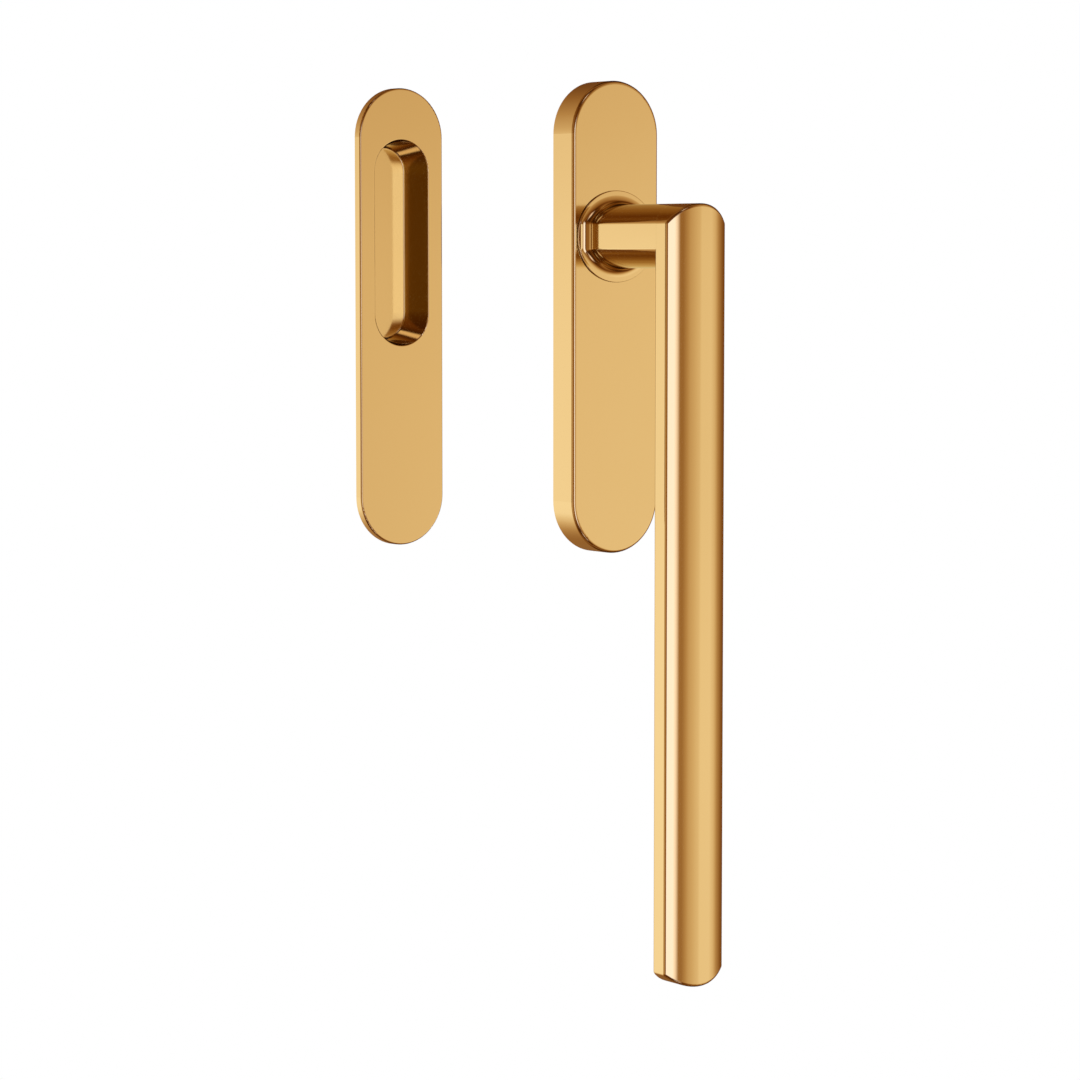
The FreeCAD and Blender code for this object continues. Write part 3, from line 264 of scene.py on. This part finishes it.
class NodeBench:
    """Small helper that adds and joins the nodes of one node tree."""

    def __init__(self, tree):
        self.tree = tree

    def add(self, kind, **settings):
        node = self.tree.nodes.new(kind)
        for name, value in settings.items():
            setattr(node, name, value)
        return node

    def join(self, source, target):
        self.tree.links.new(source, target)

    def feed(self, value, target):
        """Join a socket to the target, or set the target to a plain value."""
        if isinstance(value, bpy.types.NodeSocket):
            self.join(value, target)
        else:
            target.default_value = value

    def math(self, operation, *values, clamp=False):
        """A math node fed with up to three sockets or numbers."""
        node = self.add("ShaderNodeMath", operation=operation, use_clamp=clamp)
        for value, target in zip(values, node.inputs):
            self.feed(value, target)
        return node.outputs[0]

    def ramp(self, factor, stops, interpolation="LINEAR"):
        """A colour ramp from (position, grey or colour) stops."""
        node = self.add("ShaderNodeValToRGB")
        ramp = node.color_ramp
        ramp.interpolation = interpolation
        while len(ramp.elements) < len(stops):
            ramp.elements.new(1.0)
        for element, (place, tone) in zip(ramp.elements, stops):
            element.position = place
            colour = (tone, tone, tone) if isinstance(tone, (int, float)) else tone
            element.color = rgba(colour)
        self.join(factor, node.inputs[0])
        return node.outputs[0]

    def noise(self, vector, scale, detail, roughness):
        """A noise between 0 and 1; scale is a number or a socket."""
        node = self.add("ShaderNodeTexNoise")
        self.join(vector, node.inputs["Vector"])
        self.feed(scale, node.inputs["Scale"])
        node.inputs["Detail"].default_value = detail
        node.inputs["Roughness"].default_value = roughness
        return node.outputs["Fac"]

    def about_zero(self, noise):
        """A noise without its middle value, so that it swings about zero."""
        return self.math("SUBTRACT", noise, NOISE_MIDDLE)

    def mix_colour(self, factor, first, second, blend="MIX"):
        """Mix two colours, each a socket or three numbers."""
        node = self.add("ShaderNodeMix", data_type="RGBA", blend_type=blend)
        self.join(factor, node.inputs["Factor"])
        # the node repeats its sockets for each kind of data, and these are the colour ones
        colour_inputs = node.inputs[6:8]
        colour_output = node.outputs[2]
        for value, target in zip((first, second), colour_inputs):
            self.feed(rgba(value) if isinstance(value, tuple) else value, target)
        return colour_output


def shader_group(name, inputs, outputs):
    """A new shader node group with its sockets; returns group, bench, input and output node."""
    group = bpy.data.node_groups.new(name, "ShaderNodeTree")
    for label, kind, default in inputs:
        socket = group.interface.new_socket(label, in_out="INPUT", socket_type=kind)
        socket.default_value = default
    for label, kind in outputs:
        group.interface.new_socket(label, in_out="OUTPUT", socket_type=kind)
    bench = NodeBench(group)
    return group, bench, bench.add("NodeGroupInput"), bench.add("NodeGroupOutput")


def polish_group():
    """Fine polishing marks and faint smears: a colour, a roughness and a height.

    Marks Along says how many marks a metre holds along x, y and z.
    """
    name = "Polished Metal"
    if name in bpy.data.node_groups:
        return bpy.data.node_groups[name]
    group, bench, given, out = shader_group(
        name,
        [("Color", "NodeSocketColor", (0.8, 0.6, 0.3, 1)),
         ("Roughness", "NodeSocketFloat", 0.2),
         ("Grain", "NodeSocketFloat", 0.2),
         ("Smears", "NodeSocketFloat", 0.2),
         ("Marks Along", "NodeSocketVector", (900, 900, 40))],
        [("Color", "NodeSocketColor"), ("Roughness", "NodeSocketFloat"),
         ("Height", "NodeSocketFloat")])
    to_roughness, to_value, to_saturation = 0.25, 0.06, 0.12
    place = bench.add("ShaderNodeTexCoord").outputs["Object"]
    scaled = bench.add("ShaderNodeVectorMath", operation="MULTIPLY")
    bench.join(place, scaled.inputs[0])
    bench.join(given.outputs["Marks Along"], scaled.inputs[1])
    marks = bench.noise(scaled.outputs[0], scale=1.0, detail=3.0, roughness=0.6)
    smears = bench.noise(place, scale=38.0, detail=2.0, roughness=0.5)
    clouds = bench.noise(place, scale=9.0, detail=1.0, roughness=0.4)
    grain = bench.math("MULTIPLY", bench.about_zero(marks), given.outputs["Grain"])
    smear = bench.math("MULTIPLY", bench.about_zero(smears), given.outputs["Smears"])
    uneven = bench.math("MULTIPLY", bench.math("ADD", grain, smear), to_roughness)
    bench.join(bench.math("ADD", given.outputs["Roughness"], uneven, clamp=True),
               out.inputs["Roughness"])
    bench.join(grain, out.inputs["Height"])
    hue = bench.add("ShaderNodeHueSaturation")
    bench.join(given.outputs["Color"], hue.inputs["Color"])
    bench.join(bench.math("MULTIPLY_ADD", bench.about_zero(clouds), to_value, 1.0),
               hue.inputs["Value"])
    bench.join(bench.math("MULTIPLY_ADD", smear, to_saturation, 1.0), hue.inputs["Saturation"])
    bench.join(hue.outputs[0], out.inputs["Color"])
    return group


def cast_group():
    """Tumbled casting or moulded skin: mottled colour, roughness and a pebbled height."""
    name = "Cast Skin"
    if name in bpy.data.node_groups:
        return bpy.data.node_groups[name]
    group, bench, given, out = shader_group(
        name,
        [("Color", "NodeSocketColor", (0.5, 0.5, 0.5, 1)),
         ("Roughness", "NodeSocketFloat", 0.5),
         ("Pebble Scale", "NodeSocketFloat", 1400.0),
         ("Mottle", "NodeSocketFloat", 0.3)],
        [("Color", "NodeSocketColor"), ("Roughness", "NodeSocketFloat"),
         ("Height", "NodeSocketFloat")])
    to_roughness = 0.6
    place = bench.add("ShaderNodeTexCoord").outputs["Object"]
    pebbles = bench.noise(place, given.outputs["Pebble Scale"], detail=3.0, roughness=0.5)
    stains = bench.noise(place, scale=70.0, detail=4.0, roughness=0.6)
    shade = bench.math("MULTIPLY", bench.about_zero(stains), given.outputs["Mottle"])
    hue = bench.add("ShaderNodeHueSaturation")
    bench.join(given.outputs["Color"], hue.inputs["Color"])
    bench.join(bench.math("ADD", shade, 1.0), hue.inputs["Value"])
    bench.join(hue.outputs[0], out.inputs["Color"])
    bench.join(bench.math("MULTIPLY_ADD", shade, to_roughness, given.outputs["Roughness"],
                          clamp=True), out.inputs["Roughness"])
    bench.join(pebbles, out.inputs["Height"])
    return group


def metal_or_skin(name, group, values, *, metallic, bump, bump_distance, bounce_shade=()):
    """A material around one of the groups; bump is the strength of its height.

    The bounce tints are painted shade: the colour is times the first where another polished wall
    mirrors it, and times the next as well where one more wall mirrors that, which darkens deep
    mirror images in recesses.
    """
    material = bpy.data.materials.new(name)
    material.use_nodes = True
    bench = NodeBench(material.node_tree)
    shader = material.node_tree.nodes["Principled BSDF"]
    shader.inputs["Metallic"].default_value = metallic
    finish = bench.add("ShaderNodeGroup", node_tree=group)
    for label, value in values.items():
        finish.inputs[label].default_value = value
    colour = finish.outputs["Color"]
    # painted shade: the brass colour is darkened and tinted for each later mirror bounce
    if bounce_shade:
        depth = bench.add("ShaderNodeLightPath").outputs["Glossy Depth"]
        for count, tint in enumerate(bounce_shade):
            mirrored_more = bench.math("GREATER_THAN", depth, count + 0.5)
            colour = bench.mix_colour(mirrored_more, colour, tint, blend="MULTIPLY")
    bench.join(colour, shader.inputs["Base Color"])
    bench.join(finish.outputs["Roughness"], shader.inputs["Roughness"])
    relief = bench.add("ShaderNodeBump")
    relief.inputs["Strength"].default_value = bump
    relief.inputs["Distance"].default_value = bump_distance
    bench.join(finish.outputs["Height"], relief.inputs["Height"])
    bench.join(relief.outputs["Normal"], shader.inputs["Normal"])
    return material


def brass_material(name, look, *, blur, grain, smears, marks, bump):
    """Polished brass; blur adds to the common roughness, grain is a share of the common one."""
    return metal_or_skin(
        name, polish_group(),
        {"Color": rgba(look.brass), "Roughness": look.brass_roughness + blur,
         "Grain": look.grain * grain, "Smears": smears, "Marks Along": marks},
        metallic=1.0, bump=bump, bump_distance=0.0002, bounce_shade=PAINTED_BOUNCE_SHADE)


def steel_material(look):
    """The plated steel, made once."""
    name = "Plated steel"
    if name in bpy.data.materials:
        return bpy.data.materials[name]
    return metal_or_skin(
        name, polish_group(),
        {"Color": rgba(look.steel), "Roughness": 0.34, "Grain": 0.5, "Smears": 0.35,
         "Marks Along": (500, 60, 500)},
        metallic=0.7, bump=0.15, bump_distance=0.0002)


def dress(material, *names):
    """Give CAD nodes this material in every slot."""
    for name in names:
        slots = NODES[name].data.materials
        for number in range(len(slots)):
            slots[number] = material


def refinish(mesh, material):
    """Leave this material as the only one of a mesh."""
    mesh.materials.clear()
    mesh.materials.append(material)
    for face in mesh.polygons:
        face.material_index = 0


def mesh_of(name, shape):
    """Turn a bmesh into a mesh of this name, and free it."""
    mesh = bpy.data.meshes.new(name)
    shape.to_mesh(mesh)
    shape.free()
    return mesh


class HandleOperator(Operator):
    """Base of the steps, each of which can be undone."""

    bl_options = {"REGISTER", "UNDO"}


class HANDLE_OT_polish_plates(HandleOperator):
    """Satin polish on the cover plate and the flush pull"""

    bl_idname = "handle.polish_plates"
    bl_label = "Polish the plates"

    def execute(self, context):
        brass = brass_material("Brass plate", context.scene.handle_finishes, blur=0.03,
                               grain=1.0, smears=0.12, marks=(1600, 1600, 70), bump=0.04)
        dress(brass, "cover_plate", "pull_body")
        return {"FINISHED"}


class HANDLE_OT_polish_lever(HandleOperator):
    """Bright polish on the neck and the grip"""

    bl_idname = "handle.polish_lever"
    bl_label = "Polish the lever"

    def execute(self, context):
        brass = brass_material("Brass lever", context.scene.handle_finishes, blur=0.0,
                               grain=0.7, smears=0.10, marks=(1900, 1900, 60), bump=0.03)
        dress(brass, "neck", "grip_bar")
        return {"FINISHED"}


def crowned_outline(half_width, half_height, crown, corner, corner_steps=6, crown_steps=40):
    """Points round two flat sides that an upper and a lower crown join in rounded corners."""
    centre = half_height - crown
    inner = half_width - corner
    rise = centre + math.sqrt((crown - corner) ** 2 - inner ** 2)
    tilt = math.atan2(rise - centre, inner)
    points = []
    for step in range(corner_steps + 1):
        turn = tilt * step / corner_steps
        points.append((inner + corner * math.cos(turn), rise + corner * math.sin(turn)))
    for step in range(1, crown_steps):
        turn = tilt + (math.pi - 2 * tilt) * step / crown_steps
        points.append((crown * math.cos(turn), centre + crown * math.sin(turn)))
    points += [(-x, z) for x, z in reversed(points[:corner_steps + 1])]
    return points + [(-x, -z) for x, z in points]


def fillet_cutter(neck):
    """Ring-shaped tool that leaves the disc with its rounded rim, a fillet and the bare arm.

    Its profile is a list of outlines, each with how far it is grown and how far it lies in
    front of the door.
    """
    half_width = neck.width / 2
    rise = (neck.height - neck.side) / 2
    crown = (half_width ** 2 + rise ** 2) / (2 * rise)
    arm = (half_width, neck.height / 2, crown, neck.edge)
    disc = (neck.disc_width / 2, neck.disc_height / 2, neck.disc_crown, neck.disc_corner)
    quarter = [math.pi / 2 * step / FILLET_STEPS for step in range(FILLET_STEPS + 1)]
    profile = [(arm, 0.0, neck.flare_end)]
    for turn in reversed(quarter):
        profile.append((arm, neck.fillet * (1 - math.sin(turn)),
                        neck.disc_face + neck.fillet * (1 - math.cos(turn))))
    for turn in quarter[::RIM_STRIDE] + quarter[-1:]:
        profile.append((disc, neck.rim * (math.sin(turn) - 1),
                        neck.disc_face - neck.rim * (1 - math.cos(turn))))
    for station in (neck.disc_face - neck.rim, neck.flare_end):
        profile.append((disc, CUTTER_MARGIN, station))
    shape = bmesh.new()
    rings = []
    for outline, grown, station in profile:
        points = crowned_outline(*(size + grown for size in outline))
        rings.append([shape.verts.new((x, -station, z)) for x, z in points])
    for here, after in zip(rings, rings[1:] + rings[:1]):
        for number in range(len(here)):
            shape.faces.new((here[number], here[number - 1], after[number - 1],
                             after[number]))
    bmesh.ops.recalc_face_normals(shape, faces=shape.faces)
    return bpy.data.objects.new("fillet_cutter", mesh_of("fillet_cutter", shape))


def cut_away(piece, cutter):
    """Take the cutter's form out of the piece for good, and remove the cutter."""
    cut = piece.modifiers.new("cut", "BOOLEAN")
    cut.operation = "DIFFERENCE"
    cut.solver = "EXACT"
    cut.object = cutter
    uncut = piece.data
    done = bpy.data.meshes.new_from_object(
        piece.evaluated_get(bpy.context.evaluated_depsgraph_get()))
    piece.modifiers.clear()
    piece.data = done
    bpy.data.meshes.remove(uncut)
    bpy.data.meshes.remove(cutter.data)


def even_normals(piece):
    """Shade a cut piece by its large faces, so that the small ones beside them don't show."""
    even = piece.modifiers.new("even", "WEIGHTED_NORMAL")
    even.mode = "FACE_AREA"
    even.weight = 100
    even.keep_sharp = True


class HANDLE_OT_turn_fillet(HandleOperator):
    """Neck with a flat disc and a round fillet between the disc and the crowned arm"""

    bl_idname = "handle.turn_fillet"
    bl_label = "Round the foot of the neck"

    def execute(self, context):
        whole = bmesh.new()
        whole.from_mesh(NODES["neck"].data)
        bmesh.ops.remove_doubles(whole, verts=whole.verts, dist=SAME_PLACE)
        piece = bpy.data.objects.new("neck_filleted", mesh_of("neck_filleted", whole))
        cutter = fillet_cutter(context.scene.handle_neck)
        for thing in (piece, cutter):
            context.scene.collection.objects.link(thing)
        cut_away(piece, cutter)
        refinish(piece.data, bpy.data.materials["Brass lever"])
        piece.data.shade_smooth()
        piece.data.set_sharp_from_angle(angle=NECK_CREASE)
        even_normals(piece)
        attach(piece, BODIES["neck"])
        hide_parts("neck")
        return {"FINISHED"}


class HANDLE_OT_finish_base(HandleOperator):
    """Tumbled cast surface on the hidden base plates"""

    bl_idname = "handle.finish_base"
    bl_label = "Finish the base plates"

    def execute(self, context):
        zinc = metal_or_skin(
            "Cast zinc", cast_group(),
            {"Color": rgba(context.scene.handle_finishes.zinc), "Roughness": 0.46,
             "Pebble Scale": 1500.0, "Mottle": 0.35},
            metallic=0.85, bump=0.25, bump_distance=0.0002)
        dress(zinc, "base_plate", "pull_base")
        return {"FINISHED"}


class HANDLE_OT_finish_steel(HandleOperator):
    """Zinc plated steel on the spindle, springs, pins, washer and rings"""

    bl_idname = "handle.finish_steel"
    bl_label = "Finish the steel pieces"

    def execute(self, context):
        steel = steel_material(context.scene.handle_finishes)
        dress(steel, "spindle", "cover_springs", "pull_springs", "joint_screw",
              "spindle_grub_screw", "stop_pin", "thrust_washer", "retaining_ring",
              "mount_screws", "pull_screws")
        return {"FINISHED"}


class HANDLE_OT_finish_nylon(HandleOperator):
    """Moulded nylon on the bush and the glide ring"""

    bl_idname = "handle.finish_nylon"
    bl_label = "Finish the nylon rings"

    def execute(self, context):
        nylon = metal_or_skin(
            "Nylon", cast_group(),
            {"Color": rgba(context.scene.handle_finishes.nylon), "Roughness": 0.42,
             "Pebble Scale": 2600.0, "Mottle": 0.08},
            metallic=0.0, bump=0.10, bump_distance=0.0001)
        dress(nylon, "bearing_bush", "glide_ring")
        return {"FINISHED"}


class HANDLE_OT_finish_gaskets(HandleOperator):
    """Closed cell foam on the gaskets"""

    bl_idname = "handle.finish_gaskets"
    bl_label = "Finish the gaskets"

    def execute(self, context):
        foam = metal_or_skin(
            "Foam", cast_group(),
            {"Color": rgba(context.scene.handle_finishes.foam), "Roughness": 0.85,
             "Pebble Scale": 900.0, "Mottle": 0.5},
            metallic=0.0, bump=0.6, bump_distance=0.0004)
        dress(foam, "plate_gasket", "pull_gasket")
        return {"FINISHED"}


def thread_sheet(radius, depth, pitch, start, end, segments):
    """The surface of a screw thread along Y, an open helical sheet.

    At both ends the crest runs out into the root, which leaves a gap for a collar to close.
    """
    turns = (end - start) / pitch
    shape = bmesh.new()
    rings = []
    for number in range(int(turns * segments) + 1):
        turned = number / segments
        angle = 2 * math.pi * turned
        grown = min(1.0, turned / THREAD_RUN_OUT, (turns - turned) / THREAD_RUN_OUT)
        ring = []
        for along, height in THREAD_PROFILE:
            away = radius - depth * (1 - height * max(0.0, grown))
            place = min(max(start + pitch * (turned + along), start), end)
            ring.append(shape.verts.new((away * math.cos(angle), place,
                                         away * math.sin(angle))))
        rings.append(ring)
    for first, second in zip(rings, rings[1:]):
        for a, b, c, d in zip(first, first[1:], second[1:], second):
            shape.faces.new((a, b, c, d))
    for number in range(len(rings) - segments - 1):
        shape.faces.new((rings[number][-1], rings[number + segments][0],
                         rings[number + segments + 1][0], rings[number + 1][-1]))
    return shape


def add_collar(shape, inner, outer, place, segments):
    """A flat ring across Y that closes the gap between thread root and full radius."""
    turns = [2 * math.pi * number / segments for number in range(segments)]
    rings = []
    for radius in (inner, outer):
        rings.append([shape.verts.new((radius * math.cos(turn), place,
                                       radius * math.sin(turn))) for turn in turns])
    for number in range(segments):
        after = (number + 1) % segments
        shape.faces.new((rings[0][number], rings[0][after], rings[1][after],
                         rings[1][number]))


def without_cylinders(node, start, end):
    """A node's shape without the plain cylinders between two places along Y."""
    shape = bmesh.new()
    shape.from_mesh(node.data)
    first, last = start - CYLINDER_SLACK, end + CYLINDER_SLACK
    plain = [face for face in shape.faces
             if all(first < vert.co.y < last for vert in face.verts)
             and face.calc_center_median().y > start
             and abs(face.normal.y) < CYLINDER_LEAN]
    bmesh.ops.delete(shape, geom=plain, context="FACES")
    return shape


def threaded_copy(name, radius, pitch, start, end, centres, segments):
    """A copy of a screw node whose plain thread cylinders give way to cut threads."""
    root = radius - THREAD_DEPTH
    shape = without_cylinders(NODES[name], start, end)
    for x, z in centres:
        thread = thread_sheet(radius, THREAD_DEPTH, pitch, start, end, segments)
        for place in (start, end):
            add_collar(thread, root, radius, place, segments)
        bmesh.ops.translate(thread, verts=thread.verts, vec=(x, 0, z))
        part = mesh_of(name + "_thread", thread)
        shape.from_mesh(part)
        bpy.data.meshes.remove(part)
    bmesh.ops.recalc_face_normals(shape, faces=shape.faces)
    mesh = mesh_of(name + "_cut", shape)
    mesh.shade_smooth()
    mesh.set_sharp_from_angle(angle=THREAD_CREASE)
    piece = bpy.data.objects.new(name + "_cut", mesh)
    bpy.context.scene.collection.objects.link(piece)
    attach(piece, BODIES[name])
    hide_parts(name)
    return piece


def screw_places(name):
    """Axes of the two screws of a node, from its box."""
    low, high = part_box(name)
    middle = (low.x + high.x) / 2
    radius = (high.x - low.x) / 2
    return (middle, high.z - radius), (middle, low.z + radius)


class HANDLE_OT_cut_threads(HandleOperator):
    """Threads on the fixing screws and on the screws of the flush pull"""

    bl_idname = "handle.cut_threads"
    bl_label = "Cut the screw threads"

    def execute(self, context):
        sizes = context.scene.handle_threads
        steel = steel_material(context.scene.handle_finishes)
        for name, radius, pitch, start in (
                ("mount_screws", MOUNT_SCREW_RADIUS, sizes.metric_pitch, MOUNT_THREAD_START),
                ("pull_screws", PULL_SCREW_RADIUS, sizes.tapping_pitch, PULL_THREAD_START)):
            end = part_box(name)[1].y - radius / 2
            piece = threaded_copy(name, radius, pitch, start, end, screw_places(name),
                                  sizes.segments)
            refinish(piece.data, steel)
        return {"FINISHED"}


def tone_by_heading(bench, heading, stops):
    """A tone for every heading, from (degrees, tone) stops between -180 and 180."""
    return bench.ramp(heading, [(degrees / 360 + 0.5, tone) for degrees, tone in stops])


def tone_by_height(bench, height, stops):
    """A tone for every height, from (degrees, tone) stops between -90 and 90."""
    return bench.ramp(height, [(degrees / 180 + 0.5, tone) for degrees, tone in stops])


def heading_and_height(bench):
    """Where a ray goes, as two values from 0 to 1: round the handle, and from below to above."""
    ray = bench.add("ShaderNodeSeparateXYZ")
    bench.join(bench.add("ShaderNodeTexCoord").outputs["Generated"], ray.inputs[0])
    x, y, z = ray.outputs
    heading = bench.math("ARCTAN2", x, bench.math("MULTIPLY", y, -1))
    heading = bench.math("MULTIPLY_ADD", heading, 0.5 / math.pi, 0.5)
    height = bench.math("MULTIPLY_ADD", bench.math("ARCSINE", z), 1 / math.pi, 0.5)
    return heading, height


def mirrored_studio(bench, softbox):
    """What the metal mirrors: cloth, a softbox, and small strip lights above and below it."""
    heading, height = heading_and_height(bench)
    round_about = tone_by_heading(bench, heading, CLOTH_ROUND_ABOUT)
    up_and_down = tone_by_height(bench, height, CLOTH_UP_AND_DOWN)
    colour = bench.ramp(bench.math("MULTIPLY", round_about, up_and_down), CLOTH_COLOURS)
    across = tone_by_heading(bench, heading, SOFTBOX_ACROSS)
    for stops, light in ((SOFTBOX_HIGH, SOFTBOX_COLOUR), (STRIPS_HIGH, STRIPS_COLOUR)):
        shape = bench.math("MULTIPLY", across, tone_by_height(bench, height, stops))
        glow = bench.math("MULTIPLY", shape, softbox)
        colour = bench.mix_colour(glow, colour, light, blend="ADD")
    return colour


def studio_world(studio):
    """The studio for mirror rays, white for the camera and soft even light for all the rest."""
    world = bpy.data.worlds.new("Studio")
    world.use_nodes = True
    tree = world.node_tree
    tree.nodes.clear()
    bench = NodeBench(tree)
    mirrored = mirrored_studio(bench, studio.softbox)
    path = bench.add("ShaderNodeLightPath")
    straight = bench.math("ADD", path.outputs["Is Camera Ray"],
                          path.outputs["Is Transmission Ray"], clamp=True)
    seen = bench.math("ADD", straight, path.outputs["Is Glossy Ray"], clamp=True)
    backdrop = bench.add("ShaderNodeBackground")
    bench.join(bench.mix_colour(straight, mirrored, WHITE), backdrop.inputs["Color"])
    soft = bench.add("ShaderNodeBackground")
    soft.inputs["Color"].default_value = rgba(SOFT_LIGHT_COLOUR)
    soft.inputs["Strength"].default_value = studio.soft_light
    mix = bench.add("ShaderNodeMixShader")
    bench.join(seen, mix.inputs[0])
    bench.join(soft.outputs[0], mix.inputs[1])
    bench.join(backdrop.outputs[0], mix.inputs[2])
    out = bench.add("ShaderNodeOutputWorld")
    bench.join(mix.outputs[0], out.inputs["Surface"])
    world.cycles.sampling_method = "NONE"
    return world


def floor_paper():
    """Pale paper near the handle that passes into the white background farther out."""
    paper = bpy.data.materials.new("Pale floor")
    paper.use_nodes = True
    bench = NodeBench(paper.node_tree)
    shader = paper.node_tree.nodes["Principled BSDF"]
    shader.inputs["Roughness"].default_value = 0.8
    shader.inputs["Specular IOR Level"].default_value = 0.2
    place = bench.add("ShaderNodeTexCoord").outputs["Object"]
    fibres = bench.noise(place, PAPER_FIBRES, detail=3.0, roughness=0.6)
    bench.join(bench.ramp(fibres, PAPER_COLOURS), shader.inputs["Base Color"])
    away = bench.add("ShaderNodeVectorMath", operation="LENGTH")
    bench.join(place, away.inputs[0])
    fade = bench.ramp(away.outputs["Value"], PAPER_FADE, "EASE")
    path = bench.add("ShaderNodeLightPath")
    white = bench.add("ShaderNodeEmission")
    white.inputs["Color"].default_value = rgba(WHITE)
    white.inputs["Strength"].default_value = 1.0
    mix = bench.add("ShaderNodeMixShader")
    bench.join(bench.math("MULTIPLY", fade, path.outputs["Is Camera Ray"]), mix.inputs[0])
    bench.join(shader.outputs[0], mix.inputs[1])
    bench.join(white.outputs[0], mix.inputs[2])
    bench.join(mix.outputs[0], paper.node_tree.nodes["Material Output"].inputs["Surface"])
    return paper


def studio_floor(drop):
    """A wide pale floor well below the handle."""
    shape = bmesh.new()
    bmesh.ops.create_grid(shape, x_segments=FLOOR_CELLS, y_segments=FLOOR_CELLS,
                          size=FLOOR_REACH)
    floor = bpy.data.objects.new("studio_floor", mesh_of("studio_floor", shape))
    floor.location.z = CAD_BOX[0].z - drop
    bpy.context.scene.collection.objects.link(floor)
    floor.data.materials.append(floor_paper())
    floor.visible_glossy = False


def studio_camera(studio):
    """The camera of the photograph, without its shift."""
    lens = bpy.data.cameras.new("studio_camera")
    lens.sensor_width = 36.0
    lens.lens = studio.lens
    lens.clip_start = 0.01
    lens.clip_end = 50.0
    camera = bpy.data.objects.new("studio_camera", lens)
    bpy.context.scene.collection.objects.link(camera)
    camera.location = studio.camera_place
    camera.rotation_euler = (math.pi / 2 + studio.camera_tilt, 0, -studio.camera_turn)
    return camera


def key_lamp(power):
    """The large soft lamp, aimed at the handle and hidden from the mirroring metal."""
    light = bpy.data.lights.new("key_softbox", "AREA")
    light.shape = "RECTANGLE"
    light.size, light.size_y = KEY_LAMP_SIZE
    light.energy = power
    lamp = bpy.data.objects.new("key_softbox", light)
    lamp.location = KEY_LAMP_PLACE
    aim = Vector(KEY_LAMP_AIM) - lamp.location
    lamp.rotation_euler = aim.to_track_quat("-Z", "Y").to_euler()
    lamp.visible_glossy = False
    bpy.context.scene.collection.objects.link(lamp)


class HANDLE_OT_build_studio(HandleOperator):
    """Pale floor, soft light all round and the camera of the photograph"""

    bl_idname = "handle.build_studio"
    bl_label = "Build the studio"

    def execute(self, context):
        scene = context.scene
        studio = scene.handle_studio
        studio_floor(studio.floor_drop)
        scene.world = studio_world(studio)
        scene.view_settings.view_transform = "Standard"
        scene.camera = studio_camera(studio)
        key_lamp(studio.key_light)
        # the plates in the photo mirror the studio but not the grip
        NODES["grip_bar"].visible_glossy = False
        return {"FINISHED"}


STEPS = (HANDLE_OT_polish_plates, HANDLE_OT_polish_lever, HANDLE_OT_turn_fillet,
         HANDLE_OT_finish_base, HANDLE_OT_finish_steel, HANDLE_OT_cut_threads,
         HANDLE_OT_finish_nylon, HANDLE_OT_finish_gaskets, HANDLE_OT_build_studio)


class HANDLE_PT_sidebar(Panel):
    """Lists the sizes, colours and steps of the door handle"""

    bl_idname = "HANDLE_PT_sidebar"
    bl_label = "Door Handle"
    bl_space_type = "VIEW_3D"
    bl_region_type = "UI"
    bl_category = "Door Handle"

    def draw(self, context):
        layout = self.layout
        scene = context.scene
        for title, group in (("Finishes", scene.handle_finishes),
                             ("Foot of the neck", scene.handle_neck),
                             ("Threads", scene.handle_threads),
                             ("Studio", scene.handle_studio)):
            box = layout.box()
            box.label(text=title)
            for name in group.__annotations__:
                box.prop(group, name)
        for step in STEPS:
            layout.operator(step.bl_idname)


CLASSES = (HandleFinishes, HandleNeck, HandleThreads, HandleStudio, *STEPS, HANDLE_PT_sidebar)


def register():
    for item in CLASSES:
        bpy.utils.register_class(item)
    bpy.types.Scene.handle_finishes = PointerProperty(type=HandleFinishes)
    bpy.types.Scene.handle_neck = PointerProperty(type=HandleNeck)
    bpy.types.Scene.handle_threads = PointerProperty(type=HandleThreads)
    bpy.types.Scene.handle_studio = PointerProperty(type=HandleStudio)


def unregister():
    del bpy.types.Scene.handle_studio
    del bpy.types.Scene.handle_threads
    del bpy.types.Scene.handle_neck
    del bpy.types.Scene.handle_finishes
    for item in reversed(CLASSES):
        bpy.utils.unregister_class(item)


def main():
    register()
    for step in STEPS:
        group, name = step.bl_idname.split(".")
        getattr(getattr(bpy.ops, group), name)()


if __name__ == "__main__":
    main()
